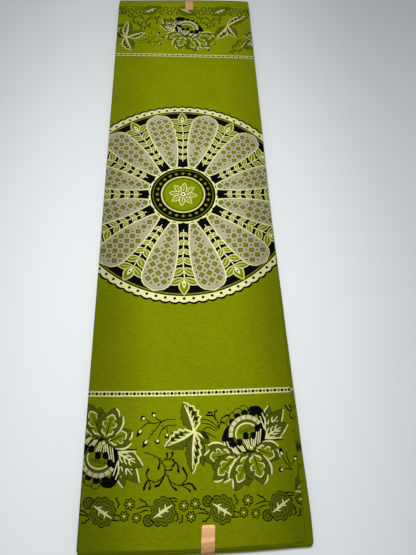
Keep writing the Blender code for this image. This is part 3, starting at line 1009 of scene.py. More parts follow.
def plainWeaveGroup():
    # Plain weave and uneven dye for printed cotton: the ink's colour, a height, a roughness
    tree, given, result = newGroup(
        "plainWeave",
        [("Coordinates", "NodeSocketVector", (0, 0, 0)),
         ("Ink", "NodeSocketColor", (0.2, 0.2, 0.2, 1)),
         ("Threads", "NodeSocketFloat", 2400.0), ("Unevenness", "NodeSocketFloat", 0.30),
         ("Roughness", "NodeSocketFloat", 0.8)],
        [("Color", "NodeSocketColor"), ("Height", "NodeSocketFloat"),
         ("Roughness", "NodeSocketFloat")])
    place = given["Coordinates"]
    ways = separated(tree, (-700, 100), place)
    threads = []
    for k, axis in enumerate(("X", "Y")):
        turns = maths(tree, (-520, 200 - 200 * k), "MULTIPLY", ways[axis], given["Threads"])
        threads.append(maths(tree, (-360, 200 - 200 * k), "SINE", turns))
    crossing = maths(tree, (-180, 100), "MULTIPLY", *threads)
    slubPlace = scaled(tree, (-700, -250), place, weaving["slubStretch"])
    slubs = noise(tree, (-520, -250), slubPlace, *weaving["slubs"])
    cloud = noise(tree, (-520, -480), place, *weaving["cloud"])
    mottlePlace = scaled(tree, (-700, -720), place, weaving["mottleStretch"])
    mottle = noise(tree, (-520, -720), mottlePlace, *weaving["mottle"])
    large = maths(tree, (-320, -300), "ADD", cloud, slubs)
    every = maths(tree, (-180, -300), "MULTIPLY_ADD", mottle, weaving["mottleShare"], large)
    around = maths(tree, (0, -300), "SUBTRACT", every, weaving["average"])
    uneven = maths(tree, (160, -300), "MULTIPLY", around, given["Unevenness"])
    level = maths(tree, (320, -300), "ADD", uneven, 1.0)
    feedAll(tree, result, {
        "Color": scaled(tree, (500, -200), given["Ink"], level),
        "Height": maths(tree, (20, 0), "MULTIPLY_ADD", crossing, weaving["threadHeight"], slubs),
        "Roughness": maths(tree, (500, -450), "MULTIPLY_ADD", uneven, weaving["dullness"],
                           given["Roughness"])})
    return tree


def newMaterial(name, values):
    # A material whose Principled shader has these fixed values
    material = bpy.data.materials.new(name)
    material.use_nodes = True
    tree = material.node_tree
    return material, tree, feedAll(tree, tree.nodes["Principled BSDF"], values)


weaveGroup = plainWeaveGroup()

# Where the cloth's faces lie on its bake map: the printed face, the inner face smaller beside
# it, and the rim's faces as tiles
bakeMap = {
    "metres": 1.165,          # of cloth across the whole map
    "left": 0.003, "bottom": 0.004, "innerSize": 0.6, "innerLeft": 0.6,
    "tileLeft": 0.60, "tileBottom": 0.62, "tileStep": 0.0095, "tileWide": 0.006,
    "tileTall": 0.004, "tilesInRow": 40,
}

hatching = {
    # wave scale, distortion, colours of the lines and of the ground between them
    "shade": (330.0, 14.0, (0.024, 0.036, 0.004, 1), (0.160, 0.193, 0.003, 1)),
    "veil": (210.0, 7.0, (0.050, 0.066, 0.003, 1), (0.200, 0.236, 0.002, 1)),
}

# Painted shade in the cloth's colour, where the light falls off: darker towards the folds and
# the near end, a little lighter over the borders, and the cream darker towards the far end.
# The places between which it changes, in shares of the bake map, and its level at each
paintedShade = {
    "lightest": 0.0015,                                   # X of the strip's lightest line
    "aside": (0.045, 0.137), "shadeAtFolds": ((0.35, 0.85), (0.55, 0.78)),
    "nearEndShade": (0.22, 0.0), "nearShadeLevel": 0.80,
    "middle": 0.504, "borderGround": ((0.318, 0.324), (1.0, 1.08)),
    "creamFarDarkening": ((0.50, 0.90), (1.0, 0.70)),
}


def addWeave(tree, shader, place, ink, rough, depth, bumpStrength):
    # Puts the weave group before a cloth's shader
    weave = addNode(tree, "ShaderNodeGroup", (-300, 0), node_tree=weaveGroup)
    feedAll(tree, weave, {"Coordinates": place, "Ink": ink, "Roughness": rough})
    color = weave.outputs["Color"]
    bump = addNode(tree, "ShaderNodeBump", (-120, -250))
    feedAll(tree, bump, {"Strength": bumpStrength, "Distance": 0.0002,
                         "Height": weave.outputs["Height"]})
    # depth, where given, is painted shade multiplied into the ink's colour
    feedAll(tree, shader, {
        "Base Color": color if depth is None else scaled(tree, (-60, 60), color, depth),
        "Roughness": weave.outputs["Roughness"], "Normal": bump.outputs[0]})


def clothMaterial(ink, color, rough):
    material, tree, shader = newMaterial(ink + "Ink", {"Specular IOR Level": 0.02})
    where = addNode(tree, "ShaderNodeUVMap", (-900, 0), uv_map="OFBake").outputs[0]
    metres = scaled(tree, (-720, 0), where, bakeMap["metres"])
    shown = (*color, 1)
    if ink in hatching:              # fine dark contour lines on the green ground
        scale, distortion, lineColor, groundColor = hatching[ink]
        lines = addNode(tree, "ShaderNodeTexWave", (-720, 300), wave_type="BANDS",
                        bands_direction="DIAGONAL")
        feedAll(tree, lines, {"Vector": metres, "Scale": scale, "Distortion": distortion,
                              "Detail": 1.0, "Detail Scale": 0.35})
        share = remapped(tree, (-560, 300), lines.outputs["Fac"], (0.35, 0.65), (0.0, 1.0),
                         "LINEAR")
        shown = blended(tree, (-420, 300), share, lineColor, groundColor)
    # painted shade: the colour is darkened towards the folds and the near end, where the light
    # falls off, and made a little lighter within the borders
    across, along, _ = separated(tree, (-720, -300), where)
    lightest = (paintedShade["lightest"] - uStart) / bakeMap["metres"] + bakeMap["left"]
    aside = maths(tree, (-560, -300), "SUBTRACT", across, lightest)
    apart = maths(tree, (-420, -300), "ABSOLUTE", aside)
    shadeAtFolds = remapped(tree, (-280, -40), along, *paintedShade["shadeAtFolds"])
    foldShade = remapped(tree, (-280, -300), apart, paintedShade["aside"], (1.0, shadeAtFolds))
    full = 1.0
    if ink == "cream":               # and the light ink is duller at the far end
        # the cream is painted darker towards the far end
        full = remapped(tree, (-280, -820), along, *paintedShade["creamFarDarkening"])
    nearEndShade = remapped(tree, (-280, -560), along, paintedShade["nearEndShade"], (full, paintedShade["nearShadeLevel"]))
    lengthwise = maths(tree, (-560, -620), "SUBTRACT", along, paintedShade["middle"])
    outward = maths(tree, (-420, -620), "ABSOLUTE", lengthwise)
    borderGround = remapped(tree, (-280, -1080), outward, *paintedShade["borderGround"])
    # painted shade: these factors darken or lighten the ink's colour
    both = maths(tree, (-120, -500), "MULTIPLY", foldShade, nearEndShade)
    depth = maths(tree, (-90, -640), "MULTIPLY", both, borderGround)
    addWeave(tree, shader, metres, shown, rough, depth, 0.25)
    return material


inkMaterials = {ink: clothMaterial(ink, color, rough) for ink, (color, rough) in inks.items()}
inkOrder = list(inks)
print("materials: done")


def newPiece(name, points, faces, spots, materials, marks=None, sharp=None):
    # A mesh object with its bake map, given as one place for each corner of each face
    mesh = bpy.data.meshes.new(name)
    mesh.from_pydata(points, [], faces)
    for material in materials:
        mesh.materials.append(material)
    if marks:
        mesh.polygons.foreach_set("material_index", marks)
    layer = mesh.uv_layers.new(name="OFBake")
    layer.data.foreach_set("uv", numpy.array(spots).ravel())
    mesh.shade_smooth()
    if sharp:
        mesh.set_sharp_from_angle(angle=radians(sharp))
    mesh.update()
    piece = bpy.data.objects.new(name, mesh)
    bpy.context.scene.collection.objects.link(piece)
    return piece


# The outermost stretch of cloth, with the print in its faces

wrapMesh = {
    "columns": 44, "rows": 160, "underStep": 0.016,     # of the loose points
    "longest": 14.0,          # millimetres between two points of an outline
    "least": 0.05,            # outline points nearer than this are one point
}


def gridSpots():
    # Loose points that let the sheet bend: closer together round the folds and at the ends
    across = []
    u = uStart + 0.006
    while u < uUnder - 0.004:
        across.append(u)
        u += wrapMesh["underStep"]
    across += [uUnder + spineLength * k / 14 for k in range(15)]
    steps = wrapMesh["columns"]
    across += [uSpine + (uTurn - 0.012 - uSpine) * (k + 1) / steps for k in range(steps)]
    across += [uTurn - 0.009, uTurn - 0.006, uTurn - 0.003]
    across += [uTurn + turnLength * k / 6 for k in range(7)]
    across += [uTurn + turnLength + 0.004, uTurn + turnLength + 0.008]
    half = strip["halfCloth"]
    along = [-half + d for d in (0.0015, 0.004, 0.008, 0.012)]
    count = wrapMesh["rows"]
    along += [-half + 0.016 + (2 * half - 0.032) * k / count for k in range(count + 1)]
    along += [half - d for d in (0.012, 0.008, 0.004, 0.0015)]
    return across, along


def finer(points, foldCuts):
    # With more points on long edges, and where the folds are, so that the edges bend
    found = []
    for (ax, ay), (bx, by) in zip(points, points[1:] + points[:1]):
        pieces = ceil(hypot(bx - ax, by - ay) / wrapMesh["longest"])
        shares = [k / pieces for k in range(1, pieces)]
        if ax != bx and (min(ax, bx) < uSpine * 1000 or max(ax, bx) > uTurn * 1000):
            shares += [(cut - ax) / (bx - ax) for cut in foldCuts]
        found.append((ax, ay))
        found += [(ax + (bx - ax) * t, ay + (by - ay) * t) for t in sorted(shares) if 0 < t < 1]
    return found


def spaced(points):
    # Without points that fall on each other
    kept = []
    least = wrapMesh["least"]
    for point in points:
        if not kept or hypot(point[0] - kept[-1][0], point[1] - kept[-1][1]) > least:
            kept.append(point)
    while len(kept) > 1 and hypot(kept[0][0] - kept[-1][0], kept[0][1] - kept[-1][1]) < least:
        kept.pop()
    return kept


def cutSheet(across, along, low, high, half):
    # The unfolded sheet in triangles that follow the print's outlines, and each one's ink
    foldCuts = [u * 1000 for u in across if uUnder < u < uSpine or u > uTurn]
    # the sheet's own outline has the grid's points along its four edges
    rim = [(low, -half)] + [(u * 1000, -half) for u in across] + [(high, -half)]
    rim += [(high, v * 1000) for v in along]
    rim += [(high, half)] + [(u * 1000, half) for u in reversed(across)] + [(low, half)]
    rim += [(low, v * 1000) for v in reversed(along)]
    spots, lines = [], []
    for outline in [rim] + [finer(points, foldCuts) for ink, points in printed]:
        kept = spaced(outline)
        if len(kept) > 2:
            first = len(spots)
            spots.extend(Vector(point) for point in kept)
            lines.extend((first + k, first + (k + 1) % len(kept)) for k in range(len(kept)))
    for u in across:
        for k, v in enumerate(along):
            if u > uUnder - 0.004 or k % 2 == 0:
                spots.append(Vector((u * 1000, v * 1000)))
    flat, _, cells, _, _, _ = delaunay_2d_cdt(spots, lines, [], 0, 0.001, False)
    flat = numpy.array([(spot[0], spot[1]) for spot in flat])
    cells = numpy.array(cells)
    middles = flat[cells].mean(axis=1)
    within = (numpy.abs(middles[:, 1]) < half) & (middles[:, 0] > low) & (middles[:, 0] < high)
    cells, middles = cells[within], middles[within]
    used = numpy.unique(cells)
    number = numpy.full(len(flat), -1)
    number[used] = numpy.arange(len(used))
    return flat[used], number[cells], inkOfPlaces(middles)


def cutLining(flat, across, along, low, high, half):
    # The sheet's inner face: the same rim, and a coarser grid inside
    onRim = numpy.abs(numpy.abs(flat[:, 1]) - half) < 0.002
    for end in (low, high):
        onRim |= numpy.abs(flat[:, 0] - end) < 0.002
    ring = sorted(numpy.nonzero(onRim)[0], key=lambda k: rimOrder(flat[k], low, high, half))
    spots = [Vector(flat[k]) for k in ring]
    for u in across[::2]:
        spots += [Vector((u * 1000, v * 1000)) for v in along[4:-4:5]]
    lines = [(k, (k + 1) % len(ring)) for k in range(len(ring))]
    under, _, cells, origins, _, _ = delaunay_2d_cdt(spots, lines, [], 1, 0.0001, True)
    place = {origin: k for k, found in enumerate(origins) for origin in found}
    return ring, [(spot[0], spot[1]) for spot in under], cells, place


def makeWrap():
    across, along = gridSpots()
    low, high, half = uStart * 1000, uEnd * 1000, strip["halfCloth"] * 1000
    flat, cells, cellInks = cutSheet(across, along, low, high, half)
    print("wrap:", len(flat), "points,", len(cells), "cells")
    ring, under, underCells, place = cutLining(flat, across, along, low, high, half)
    outer = [foldedPoint(u / 1000, v / 1000) for u, v in flat]
    inner = [foldedPoint(u / 1000, v / 1000, strip["cloth"]) for u, v in under]
    base = len(outer)
    faces = [list(cell) for cell in cells]
    faces += [[base + index for index in reversed(cell)] for cell in underCells]

    def onMap(spot, size, left):
        return ((spot[0] - low) / 1000 / bakeMap["metres"] * size + left,
                (spot[1] + half) / 1000 / bakeMap["metres"] * size + bakeMap["bottom"])

    mapped = [onMap(spot, 1.0, bakeMap["left"]) for spot in flat]
    mapped += [onMap(spot, bakeMap["innerSize"], bakeMap["innerLeft"]) for spot in under]
    spots = [mapped[index] for face in faces for index in face]
    count = len(ring)
    for k in range(count):
        after = (k + 1) % count
        faces.append([int(ring[after]), int(ring[k]), base + place[k], base + place[after]])
        row, column = divmod(k, bakeMap["tilesInRow"])
        left = bakeMap["tileLeft"] + column * bakeMap["tileStep"]
        bottom = bakeMap["tileBottom"] + row * bakeMap["tileStep"]
        right, top = left + bakeMap["tileWide"], bottom + bakeMap["tileTall"]
        spots += [(left, bottom), (right, bottom), (right, top), (left, top)]
    marks = list(cellInks) + [inkOrder.index("green")] * (len(faces) - len(cells))
    piece = newPiece("wrapCloth", outer + inner, faces, spots,
                     [inkMaterials[ink] for ink in inkOrder], marks)
    # the normals come from the folded shape, so that the print's triangles don't show
    normals = [faceNormal(u / 1000, v / 1000) for u, v in flat]
    normals += [-faceNormal(u / 1000, v / 1000) for u, v in under]
    piece.data.normals_split_custom_set_from_vertices(normals)
    print("wrap:", len(faces), "faces, rim of", count)
    return piece


def rimOrder(spot, low, high, half):
    # A number that grows round the sheet's four edges, in millimetres and a leap at each corner
    u, v = spot
    if abs(v + half) < 0.002:
        return u - low
    if abs(u - high) < 0.002:
        return 10000 + v + half
    if abs(v - half) < 0.002:
        return 20000 + high - u
    return 30000 + half - v


def inkOfPlaces(middles):
    # The uppermost shape's ink at each place, by how often its outline winds round the place
    order = numpy.argsort(middles[:, 0])
    xs, ys = middles[order, 0], middles[order, 1]
    found = numpy.zeros(len(xs), int)
    for ink, points in printed:
        loop = numpy.array(points)
        (left, bottom), (right, top) = loop.min(axis=0), loop.max(axis=0)
        first, last = numpy.searchsorted(xs, (left, right))
        near = first + numpy.nonzero((ys[first:last] > bottom) & (ys[first:last] < top))[0]
        if not len(near):
            continue
        px, py = xs[near], ys[near]
        turns = numpy.zeros(len(near), int)
        for (ax, ay), (bx, by) in zip(points, points[1:] + points[:1]):
            if ay == by:
                continue
            beyond = px < (bx - ax) * (py - ay) / (by - ay) + ax
            turns += beyond & (ay <= py) & (by > py)
            turns -= beyond & (ay > py) & (by <= py)
        found[near[turns != 0]] = inkOrder.index(ink)
    inksHere = numpy.zeros(len(xs), int)
    inksHere[order] = found
    return inksHere


wrapCloth = makeWrap()
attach(wrapCloth, "root")
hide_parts("outer_wrap")


# The sixteen layers inside, folded in eight pages that slide out at the near end's right

pageColumns = ("near", "far", "spread", "loose", "corner")
pageRows = (
    (0.36, 0.30, 0.10, 0.0000, 0.003),
    (0.62, 0.55, 0.95, 0.0004, 0.004),
    (0.55, 0.80, 1.00, 0.0009, 0.004),
    (1.00, 0.62, 0.97, 0.0002, 0.006),
    (0.84, 0.94, 0.99, 0.0007, 0.005),
    (0.94, 1.00, 0.93, 0.0011, 0.006),
    (0.76, 0.70, 0.96, 0.0005, 0.006),
    (0.88, 0.86, 0.90, 0.0009, 0.007),
)
pages = [dict(zip(pageColumns, row)) for row in pageRows]
layering = {
    "fanPower": 1.2, "fanStart": 0.0035, "fanStop": -0.554,     # where the pages slide out
    "tuck": 0.0009, "first": 0.00125, "endStep": 0.0008, "leftRoom": 0.0004,
    "rows": 74, "foldSteps": 5, "roughReach": 0.58,     # about half the length of a page
    "endRows": (0.0008, 0.0022, 0.005, 0.009, 0.991, 0.995, 0.9978, 0.9992),
    # how far back from a page's fold its points lie
    "backs": (0.0006, 0.0014, 0.0026, 0.0045, 0.0070, 0.0105, 0.016, 0.026, 0.050, 0.090,
              0.150, 0.210, 0.260, 0.300, 0.320),
    "mapWide": 0.124,         # of one page's strip of the bake map
}


def pageLevels(x, y):
    # Z of the boundaries between the pages at one place, from the top one down
    low = underLift(x, y) + strip["cloth"] + strip["layerGap"]
    high = topZ(min(x, uTurn), y) - strip["cloth"] - strip["layerGap"]
    first = high - layering["first"]
    below = len(pages) - 1
    return [high] + [first + (low - first) * step / below for step in range(below + 1)]


def pageRight(index, y):
    # X of a page's folded edge: it slides out of the strip towards the near end
    if index == 0:
        return stripRight - strip["flap"] - 0.0004
    page = pages[index]
    opened = (layering["fanStart"] - y) / (layering["fanStart"] - layering["fanStop"])
    opened = min(1, max(0, opened)) ** layering["fanPower"]
    fanOut = strip["width"] / 2 - stripRight
    uneven = 0.00025 * sin(17 * y + 2.1 * index) + 0.00015 * sin(61 * y + index)
    return (stripRight + (page["loose"] - layering["tuck"]) * (1 - opened)
            + (page["spread"] * fanOut - 0.0004) * opened + uneven * (0.4 + 0.6 * opened))


def pageLeft(index):
    # Inside the left fold, which is narrow at the top and bottom
    share, power = (index + 0.5) / len(pages), strip["spineSquareness"]
    across = 1 - (1 - abs(2 * share - 1) ** power) ** (1 / power)
    return stripLeft + strip["cloth"] + layering["leftRoom"] + strip["spineDepth"] * across + 0.0004


def pageEnd(index, side, x, lower):
    # The two layers of a page end a little apart
    share = pages[index]["near" if side < 0 else "far"]
    start, stop = topEnd(side, x), longEnd(side, x)
    wavy = 0.00022 * sin(53 * x + 1.7 * index) + 0.00016 * sin(131 * x + 2.3 * index + 4 * lower)
    shorter = layering["endStep"] * (0.35 + 0.65 * sin(1.9 * index) ** 2)
    shorter *= lower if index % 2 else 1 - lower
    return start + (stop - start) * share - 0.0003 + wavy * 0.9 - shorter


def cornerCut(fromRight, radius, side):
    # How much shorter the layers are near their rounded right corners
    radius = radius if side < 0 else radius * 0.5
    if fromRight >= radius:
        return 0.0
    return radius - sqrt(max(0, radius ** 2 - (radius - fromRight) ** 2))


def pageSection(index, row):
    # A page's closed outline at one place along the strip: its outer face, then its inner one
    page, gap, steps = pages[index], strip["layerGap"], layering["foldSteps"]
    side = -1 if row < 0.5 else 1
    along = abs(2 * row - 1)
    rough = side * along * layering["roughReach"]
    leftEdge, rightEdge = pageLeft(index), pageRight(index, rough)
    levels = pageLevels(min(rightEdge, uTurn), rough)
    bend = (levels[index] - levels[index + 1] - gap) / 2

    def placeAlong(x, lower):
        cut = cornerCut(rightEdge - x, page["corner"], side)
        return side * along * (pageEnd(index, side, x, lower) - cut)

    def flatPoint(back, lower, inset):
        x = max(leftEdge, rightEdge - bend - back)
        y = placeAlong(x, lower)
        inward = 1 if lower else -1
        return x, y, pageLevels(x, y)[index + lower] + inward * gap / 2 + inward * inset

    def turnPoint(angle, inset):
        x = rightEdge - bend + (bend - inset) * sin(angle)
        y = placeAlong(x, 0.5)
        here = pageLevels(min(x, rightEdge - bend), y)
        centre = (here[index] + here[index + 1]) / 2
        return x, y, centre + (bend - inset) * cos(angle)

    outline = []
    for inset in (0.0, strip["cloth"]):
        above, below = ([flatPoint(back, lower, inset) for back in layering["backs"]]
                        for lower in (0, 1))
        turn = [turnPoint(pi * (step + 0.5) / steps, inset) for step in range(steps)]
        outline.append(above[::-1] + turn + below)
    return outline[0] + outline[1][::-1]


def makePages():
    points, faces, spotsOfMap = [], [], []
    rows = [k / layering["rows"] for k in range(layering["rows"] + 1)]
    rows = sorted({*rows, *layering["endRows"]})
    for index in range(len(pages)):
        grid = [pageSection(index, row) for row in rows]
        first = len(points)
        wide = len(grid[0])
        for outline in grid:
            points.extend(outline)
        # every page has its own strip of the bake map: across for the section, up for the length
        mapAcross = [0.004 + (index + 0.96 * column / wide) * layering["mapWide"]
                     for column in range(wide + 1)]
        mapUp = [0.01 + 0.98 * row for row in rows]
        for row in range(len(rows) - 1):
            for column in range(wide):
                after = (column + 1) % wide
                faces.append((first + row * wide + column, first + row * wide + after,
                              first + (row + 1) * wide + after, first + (row + 1) * wide + column))
                spotsOfMap += [(mapAcross[column + right], mapUp[row + up])
                               for right, up in ((0, 0), (1, 0), (1, 1), (0, 1))]
        half = wide // 2
        for row in (0, len(rows) - 1):        # the cut ends, between the outer and inner faces
            for column in range(half - 1):
                outerA, outerB = first + row * wide + column, first + row * wide + column + 1
                innerA = first + row * wide + wide - 1 - column
                innerB = innerA - 1
                quad = (outerA, outerB, innerB, innerA)
                faces.append(quad[::-1] if row == 0 else quad)
                x0, y0 = mapAcross[column], 0.002 if row == 0 else 0.992
                corners = [(x0, y0), (x0 + 0.0015, y0), (x0 + 0.0015, y0 + 0.005), (x0, y0 + 0.005)]
                spotsOfMap += corners[::-1] if row == 0 else corners
    print("pages:", len(faces), "faces")
    return newPiece("foldedPages", points, faces, spotsOfMap, [pagesMaterial()], sharp=50)


pageEdges = {
    # painted shade: the green and the beads at the layers' edges are darkened, for the shade
    # between the tucked-in layers
    "green": 0.52, "bead": 0.62,                    # how light the inks are at the edges
    "blots": (12.0, 64.0, 1.0), "cloth": (5.0, 1.17, 1.0),
    # places along the bake map from which the edges show slivers of print, or none
    "printed": ((0.0, 0), (0.045, 1), (0.165, 0), (0.375, 1), (0.63, 0), (0.845, 1), (0.955, 0)),
    "beads": ((0.0, 0), (0.1850, 1), (0.1912, 0), (0.8172, 1), (0.8236, 0)),
}


def pagesMaterial():
    # Green cloth whose folded edges show slivers of the print, where the borders and the
    # medallion lie, and the ends of the two beaded lines, with the green and the beads painted
    # darker as shade
    material, tree, shader = newMaterial("layerCloth", {"Specular IOR Level": 0.02})
    where = addNode(tree, "ShaderNodeUVMap", (-1300, 0), uv_map="OFBake").outputs[0]
    along = separated(tree, (-1120, 200), where)["Y"]
    # painted shade: the edges' green and bead colours, darkened
    green = [pageEdges["green"] * level for level in inks["green"][0]]
    bead = [pageEdges["bead"] * level for level in inks["beige"][0]]
    zones, beads = (
        ramped(tree, at, along, [(place, (level,) * 3) for place, level in pageEdges[key]])
        for key, at in (("printed", (-940, 250)), ("beads", (-940, 500))))
    blots = noise(tree, (-940, 0), scaled(tree, (-1120, 0), where, pageEdges["blots"]), 1.0, 0.6)
    slivers = ramped(tree, (-740, 0), blots, (
        (0.30, inks["web"][0]), (0.41, green), (0.58, green), (0.70, inks["shade"][0])), "LINEAR")
    printEdge = blended(tree, (-480, 100), zones, (*green, 1), slivers)
    color = blended(tree, (-380, 300), beads, printEdge, (*bead, 1))
    cloth = scaled(tree, (-720, -300), where, pageEdges["cloth"])
    addWeave(tree, shader, cloth, color, 0.8, None, 0.2)
    return material


foldedPages = makePages()
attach(foldedPages, "root")
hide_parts("folded_layers")


# The two foil bands, bent over the ends and tucked under

foil = {
    "thick": 0.00012, "clear": 0.00022, "tuckY": 0.5570, "corner": 0.0022, "columns": 15,
    # height, and how fast they run across and along; the last is only where the foil bends down
    "ripples": ((0.00005, 900, 260), (0.00004, -500, 410)), "endRipple": (0.00020, 420, 1400),
    "copper": (0.98, 0.56, 0.26), "highlightLean": 0.10, "shadeRun": (0.560, 0.590),
    # painted shade along that run: darker where it bends down, with one painted highlight streak
    "shades": ((0.0, 1.0), (0.34, 0.96), (0.42, 0.66), (0.60, 0.74), (0.72, 0.92), (0.80, 0.55),
               (1.0, 0.50)),
}


def bandPath(band, x):
    # The foil's inner face at one X, from its top end round the strip's end and under
    side = band["side"]
    edge, outer = topEnd(side, x), longEnd(side, x)
    path = []
    for k in range(11):
        reach = band["start"] + (edge - 0.0004 - band["start"]) * k / 10
        path.append((reach, topZ(x, side * reach) + foil["clear"]))
    corner = thickness(x, side * edge)
    bendPoints = [
        (edge + 0.0007, corner - 0.0001), (edge + 0.30 * (outer - edge) + 0.0010, 0.88 * corner),
        (edge + 0.62 * (outer - edge) + 0.0010, 0.72 * corner), (outer + 0.0003, 0.58 * corner),
        (outer + 0.0005, 0.40 * corner), (outer + 0.0004, 0.22 * corner),
        (outer - 0.0006, 0.0009), (outer - 0.0024, 0.0003), (outer - 0.0050, 0.00016)]
    path += curve([path[-1]] + bendPoints, 3)[1:]
    path += [(foil["tuckY"] + (outer - 0.0050 - foil["tuckY"]) * (1 - k / 4), 0.00016)
             for k in range(1, 5)]
    return [(side * reach, z) for reach, z in path]


def bandLine(band, across, phase):
    # The foil's inner and outer points in one line along it, at a place across it
    middle = band["x"] + across
    path = bandPath(band, middle)
    # the top end's two corners are rounded
    cut = cornerCut(bandWidth / 2 - abs(across), foil["corner"], -1)
    inner, outer = [], []
    for index, (y, z) in enumerate(path):
        before, after = path[max(0, index - 1)], path[min(len(path) - 1, index + 1)]
        run, rise = after[0] - before[0], after[1] - before[1]
        length = hypot(run, rise)
        outY, outZ = -rise / length * band["side"], run / length * band["side"]
        y += band["side"] * cut * max(0, 1 - index / 5)
        x = middle + band["lean"] * (y - band["side"] * band["start"])
        ripple = sum(high * sin(acrossRate * x + alongRate * y + phase)
                     for high, acrossRate, alongRate in foil["ripples"])
        high, acrossRate, alongRate = foil["endRipple"]
        ripple += (high * sin(alongRate * y + acrossRate * x + 0.9 * phase)
                   * smooth(0.562, 0.580, abs(y)))
        lift = max(0, ripple) if z > 0.001 else 0
        inner.append((x, y + outY * lift, z + outZ * lift))
        outer.append((x, y + outY * (lift + foil["thick"]),
                      max(0.00001, z + outZ * (lift + foil["thick"]))))
    return inner, outer


def makeBand(name, band, phase):
    columns = foil["columns"]
    inner, outer = zip(*(bandLine(band, (column / (columns - 1) - 0.5) * bandWidth, phase)
                         for column in range(columns)))
    rows = len(inner[0])
    points = [spot for row in outer for spot in row] + [spot for row in inner for spot in row]
    base = columns * rows
    faces, marks, spots = [], [], []
    flip = band["side"] > 0

    def add(quad, mark, corners):
        faces.append(quad[::-1] if flip else quad)
        spots.extend(corners[::-1] if flip else corners)
        marks.append(mark)

    for column in range(columns - 1):
        for row in range(rows - 1):
            a = column * rows + row
            quad = (a, a + 1, a + rows + 1, a + rows)
            u0, u1 = column / columns * 0.42, (column + 1) / columns * 0.42
            v0, v1 = row / rows * 0.96, (row + 1) / rows * 0.96
            corners = [(u0 + 0.01, v0 + 0.01), (u0 + 0.01, v1 + 0.01), (u1 + 0.01, v1 + 0.01),
                       (u1 + 0.01, v0 + 0.01)]
            add(quad, 0, corners)
            add(tuple(base + k for k in quad[::-1]), 1, [(u + 0.44, v) for u, v in corners[::-1]])
    rim = [(0, row) for row in range(rows)]
    rim += [(column, rows - 1) for column in range(1, columns)]
    rim += [(columns - 1, row) for row in range(rows - 2, -1, -1)]
    rim += [(column, 0) for column in range(columns - 2, 0, -1)]
    total = len(rim)
    for k in range(total):
        (c0, r0), (c1, r1) = rim[k], rim[(k + 1) % total]
        a, b = c0 * rows + r0, c1 * rows + r1
        v0, v1 = 0.01 + 0.97 * k / total, 0.01 + 0.97 * (k + 1) / total
        add((b, a, base + a, base + b), 0, [(0.92, v1), (0.92, v0), (0.96, v0), (0.96, v1)])
    return newPiece(name, points, faces, spots, [foilMaterial, paperMaterial], marks, 50)


def makeFoilMaterial():
    # Copper-coloured foil with painted shade, browner, where it bends down the strip's ends, and
    # one soft painted highlight streak
    material, tree, shader = newMaterial("copperFoil", {"Roughness": 0.42, "Metallic": 0.6})
    where = addNode(tree, "ShaderNodeTexCoord", (-1100, 0)).outputs["Object"]
    across, along, _ = separated(tree, (-940, 0), where)
    slanted = maths(tree, (-940, 200), "MULTIPLY", across, foil["highlightLean"])
    place = maths(tree, (-620, 0), "ADD", maths(tree, (-780, 0), "ABSOLUTE", along), slanted)
    share = remapped(tree, (-460, 100), place, foil["shadeRun"], (0.0, 1.0), "LINEAR")
    red, green, blue = foil["copper"]
    steps = [(at, (level * red, level ** 1.2 * green, level ** 1.3 * blue))
             for at, level in foil["shades"]]
    feed(tree, shader.inputs["Base Color"], ramped(tree, (-300, 100), share, steps, "LINEAR"))
    return material


foilMaterial = makeFoilMaterial()
paperMaterial = newMaterial("paperBack", {"Base Color": (0.62, 0.58, 0.52, 1),
                                          "Roughness": 0.8, "Metallic": 0.0})[0]
for pieceName, nodeName, phase in (("nearBand", "near_band", 1), ("farBand", "far_band", 5)):
    bandPiece = makeBand(pieceName, bandSizes[nodeName], phase)
    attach(bandPiece, "root")
    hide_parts(nodeName)
print("bands: done")


# Floor, light and camera

# Painted shade on the floor: the white paper is greyed towards both sides and made a little darker
# towards the far end, where the light falls off
stage = {
    "paper": (0.80, 0.83, 0.84), "spread": 3.0,
    "middle": -0.04, "greying": (0.17, 0.50), "greyest": 0.80,      # sideways
    "lengthwise": (-0.55, 0.60), "levels": (1.03, 0.93),
}


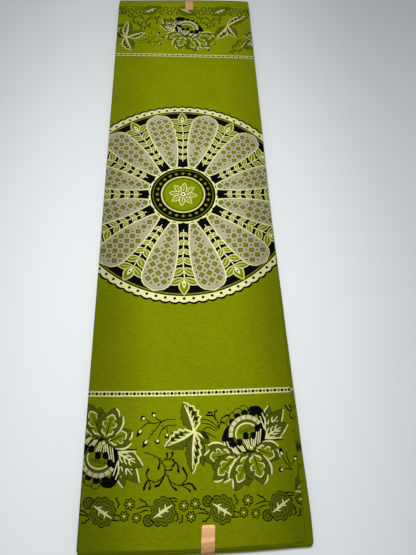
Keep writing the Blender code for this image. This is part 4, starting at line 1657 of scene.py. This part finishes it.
def makeStage():
    mesh = bpy.data.meshes.new("paperFloor")
    reach = stage["spread"]
    corners = [(x * reach, y * reach, 0) for x, y in ((-1, -1), (1, -1), (1, 1), (-1, 1))]
    mesh.from_pydata(corners, [], [(0, 1, 2, 3)])
    floorPiece = bpy.data.objects.new("paperFloor", mesh)
    bpy.context.scene.collection.objects.link(floorPiece)
    material, tree, shader = newMaterial("whitePaper", {"Roughness": 0.7})
    where = addNode(tree, "ShaderNodeTexCoord", (-900, 0)).outputs["Object"]
    across, along, _ = separated(tree, (-740, 0), where)
    shifted = maths(tree, (-660, 0), "SUBTRACT", across, stage["middle"])
    aside = maths(tree, (-580, 0), "ABSOLUTE", shifted)
    # painted shade: darker to both sides and towards the far end
    sideShade = remapped(tree, (-420, 0), aside, stage["greying"], (1.0, stage["greyest"]))
    lengthShade = remapped(tree, (-420, -260), along, stage["lengthwise"], stage["levels"])
    both = maths(tree, (-340, -130), "MULTIPLY", sideShade, lengthShade)
    feed(tree, shader.inputs["Base Color"], scaled(tree, (-260, 0), stage["paper"], both))
    mesh.materials.append(material)


lamp = {"at": (-0.06, -0.10, 1.12), "size": 0.6, "power": 10.3}


def addLamp():
    data = bpy.data.lights.new("ceilingLight", "AREA")
    data.size = lamp["size"]
    data.energy = lamp["power"]
    piece = bpy.data.objects.new("ceilingLight", data)
    piece.location = lamp["at"]
    piece.rotation_euler = Vector((0, 0, -lamp["at"][2])).to_track_quat("-Z", "Y").to_euler()
    bpy.context.scene.collection.objects.link(piece)


def addRoom():
    # Dim light from all round
    world = bpy.data.worlds.new("softRoom")
    world.use_nodes = True
    feedAll(world.node_tree, world.node_tree.nodes["Background"],
            {"Color": (0.95, 0.98, 1.0, 1), "Strength": 0.30})
    bpy.context.scene.world = world


# Where the photo is taken from: metres above, behind and beside the strip's middle, degrees
# down and sideways, and the lens in millimetres
view = {
    "height": 0.7267, "back": -0.5248, "across": -0.0141, "down": 63.91, "yaw": 6.786,
    "roll": 5.528, "lens": 30.43, "sensor": 36,
}


def makeCamera():
    data = bpy.data.cameras.new("photoView")
    data.sensor_width = view["sensor"]
    data.lens = view["lens"]
    camera = bpy.data.objects.new("photoView", data)
    down, yaw, roll = (radians(view[k]) for k in ("down", "yaw", "roll"))
    forward = Vector((sin(yaw) * cos(down), cos(yaw) * cos(down), -sin(down)))
    rightward = Vector((cos(yaw), -sin(yaw), 0))
    upward = rightward.cross(forward)
    rolledRight = cos(roll) * rightward + sin(roll) * upward
    rolledUp = -sin(roll) * rightward + cos(roll) * upward
    turned = Matrix((rolledRight, rolledUp, -forward)).transposed().to_4x4()
    at = (view["across"], view["back"], view["height"] + strip["height"])
    camera.matrix_world = Matrix.Translation(at) @ turned
    bpy.context.scene.collection.objects.link(camera)
    bpy.context.scene.camera = camera


makeStage()
makeCamera()
addLamp()
addRoom()
bpy.context.scene.view_settings.view_transform = "Standard"
print("stage: done")
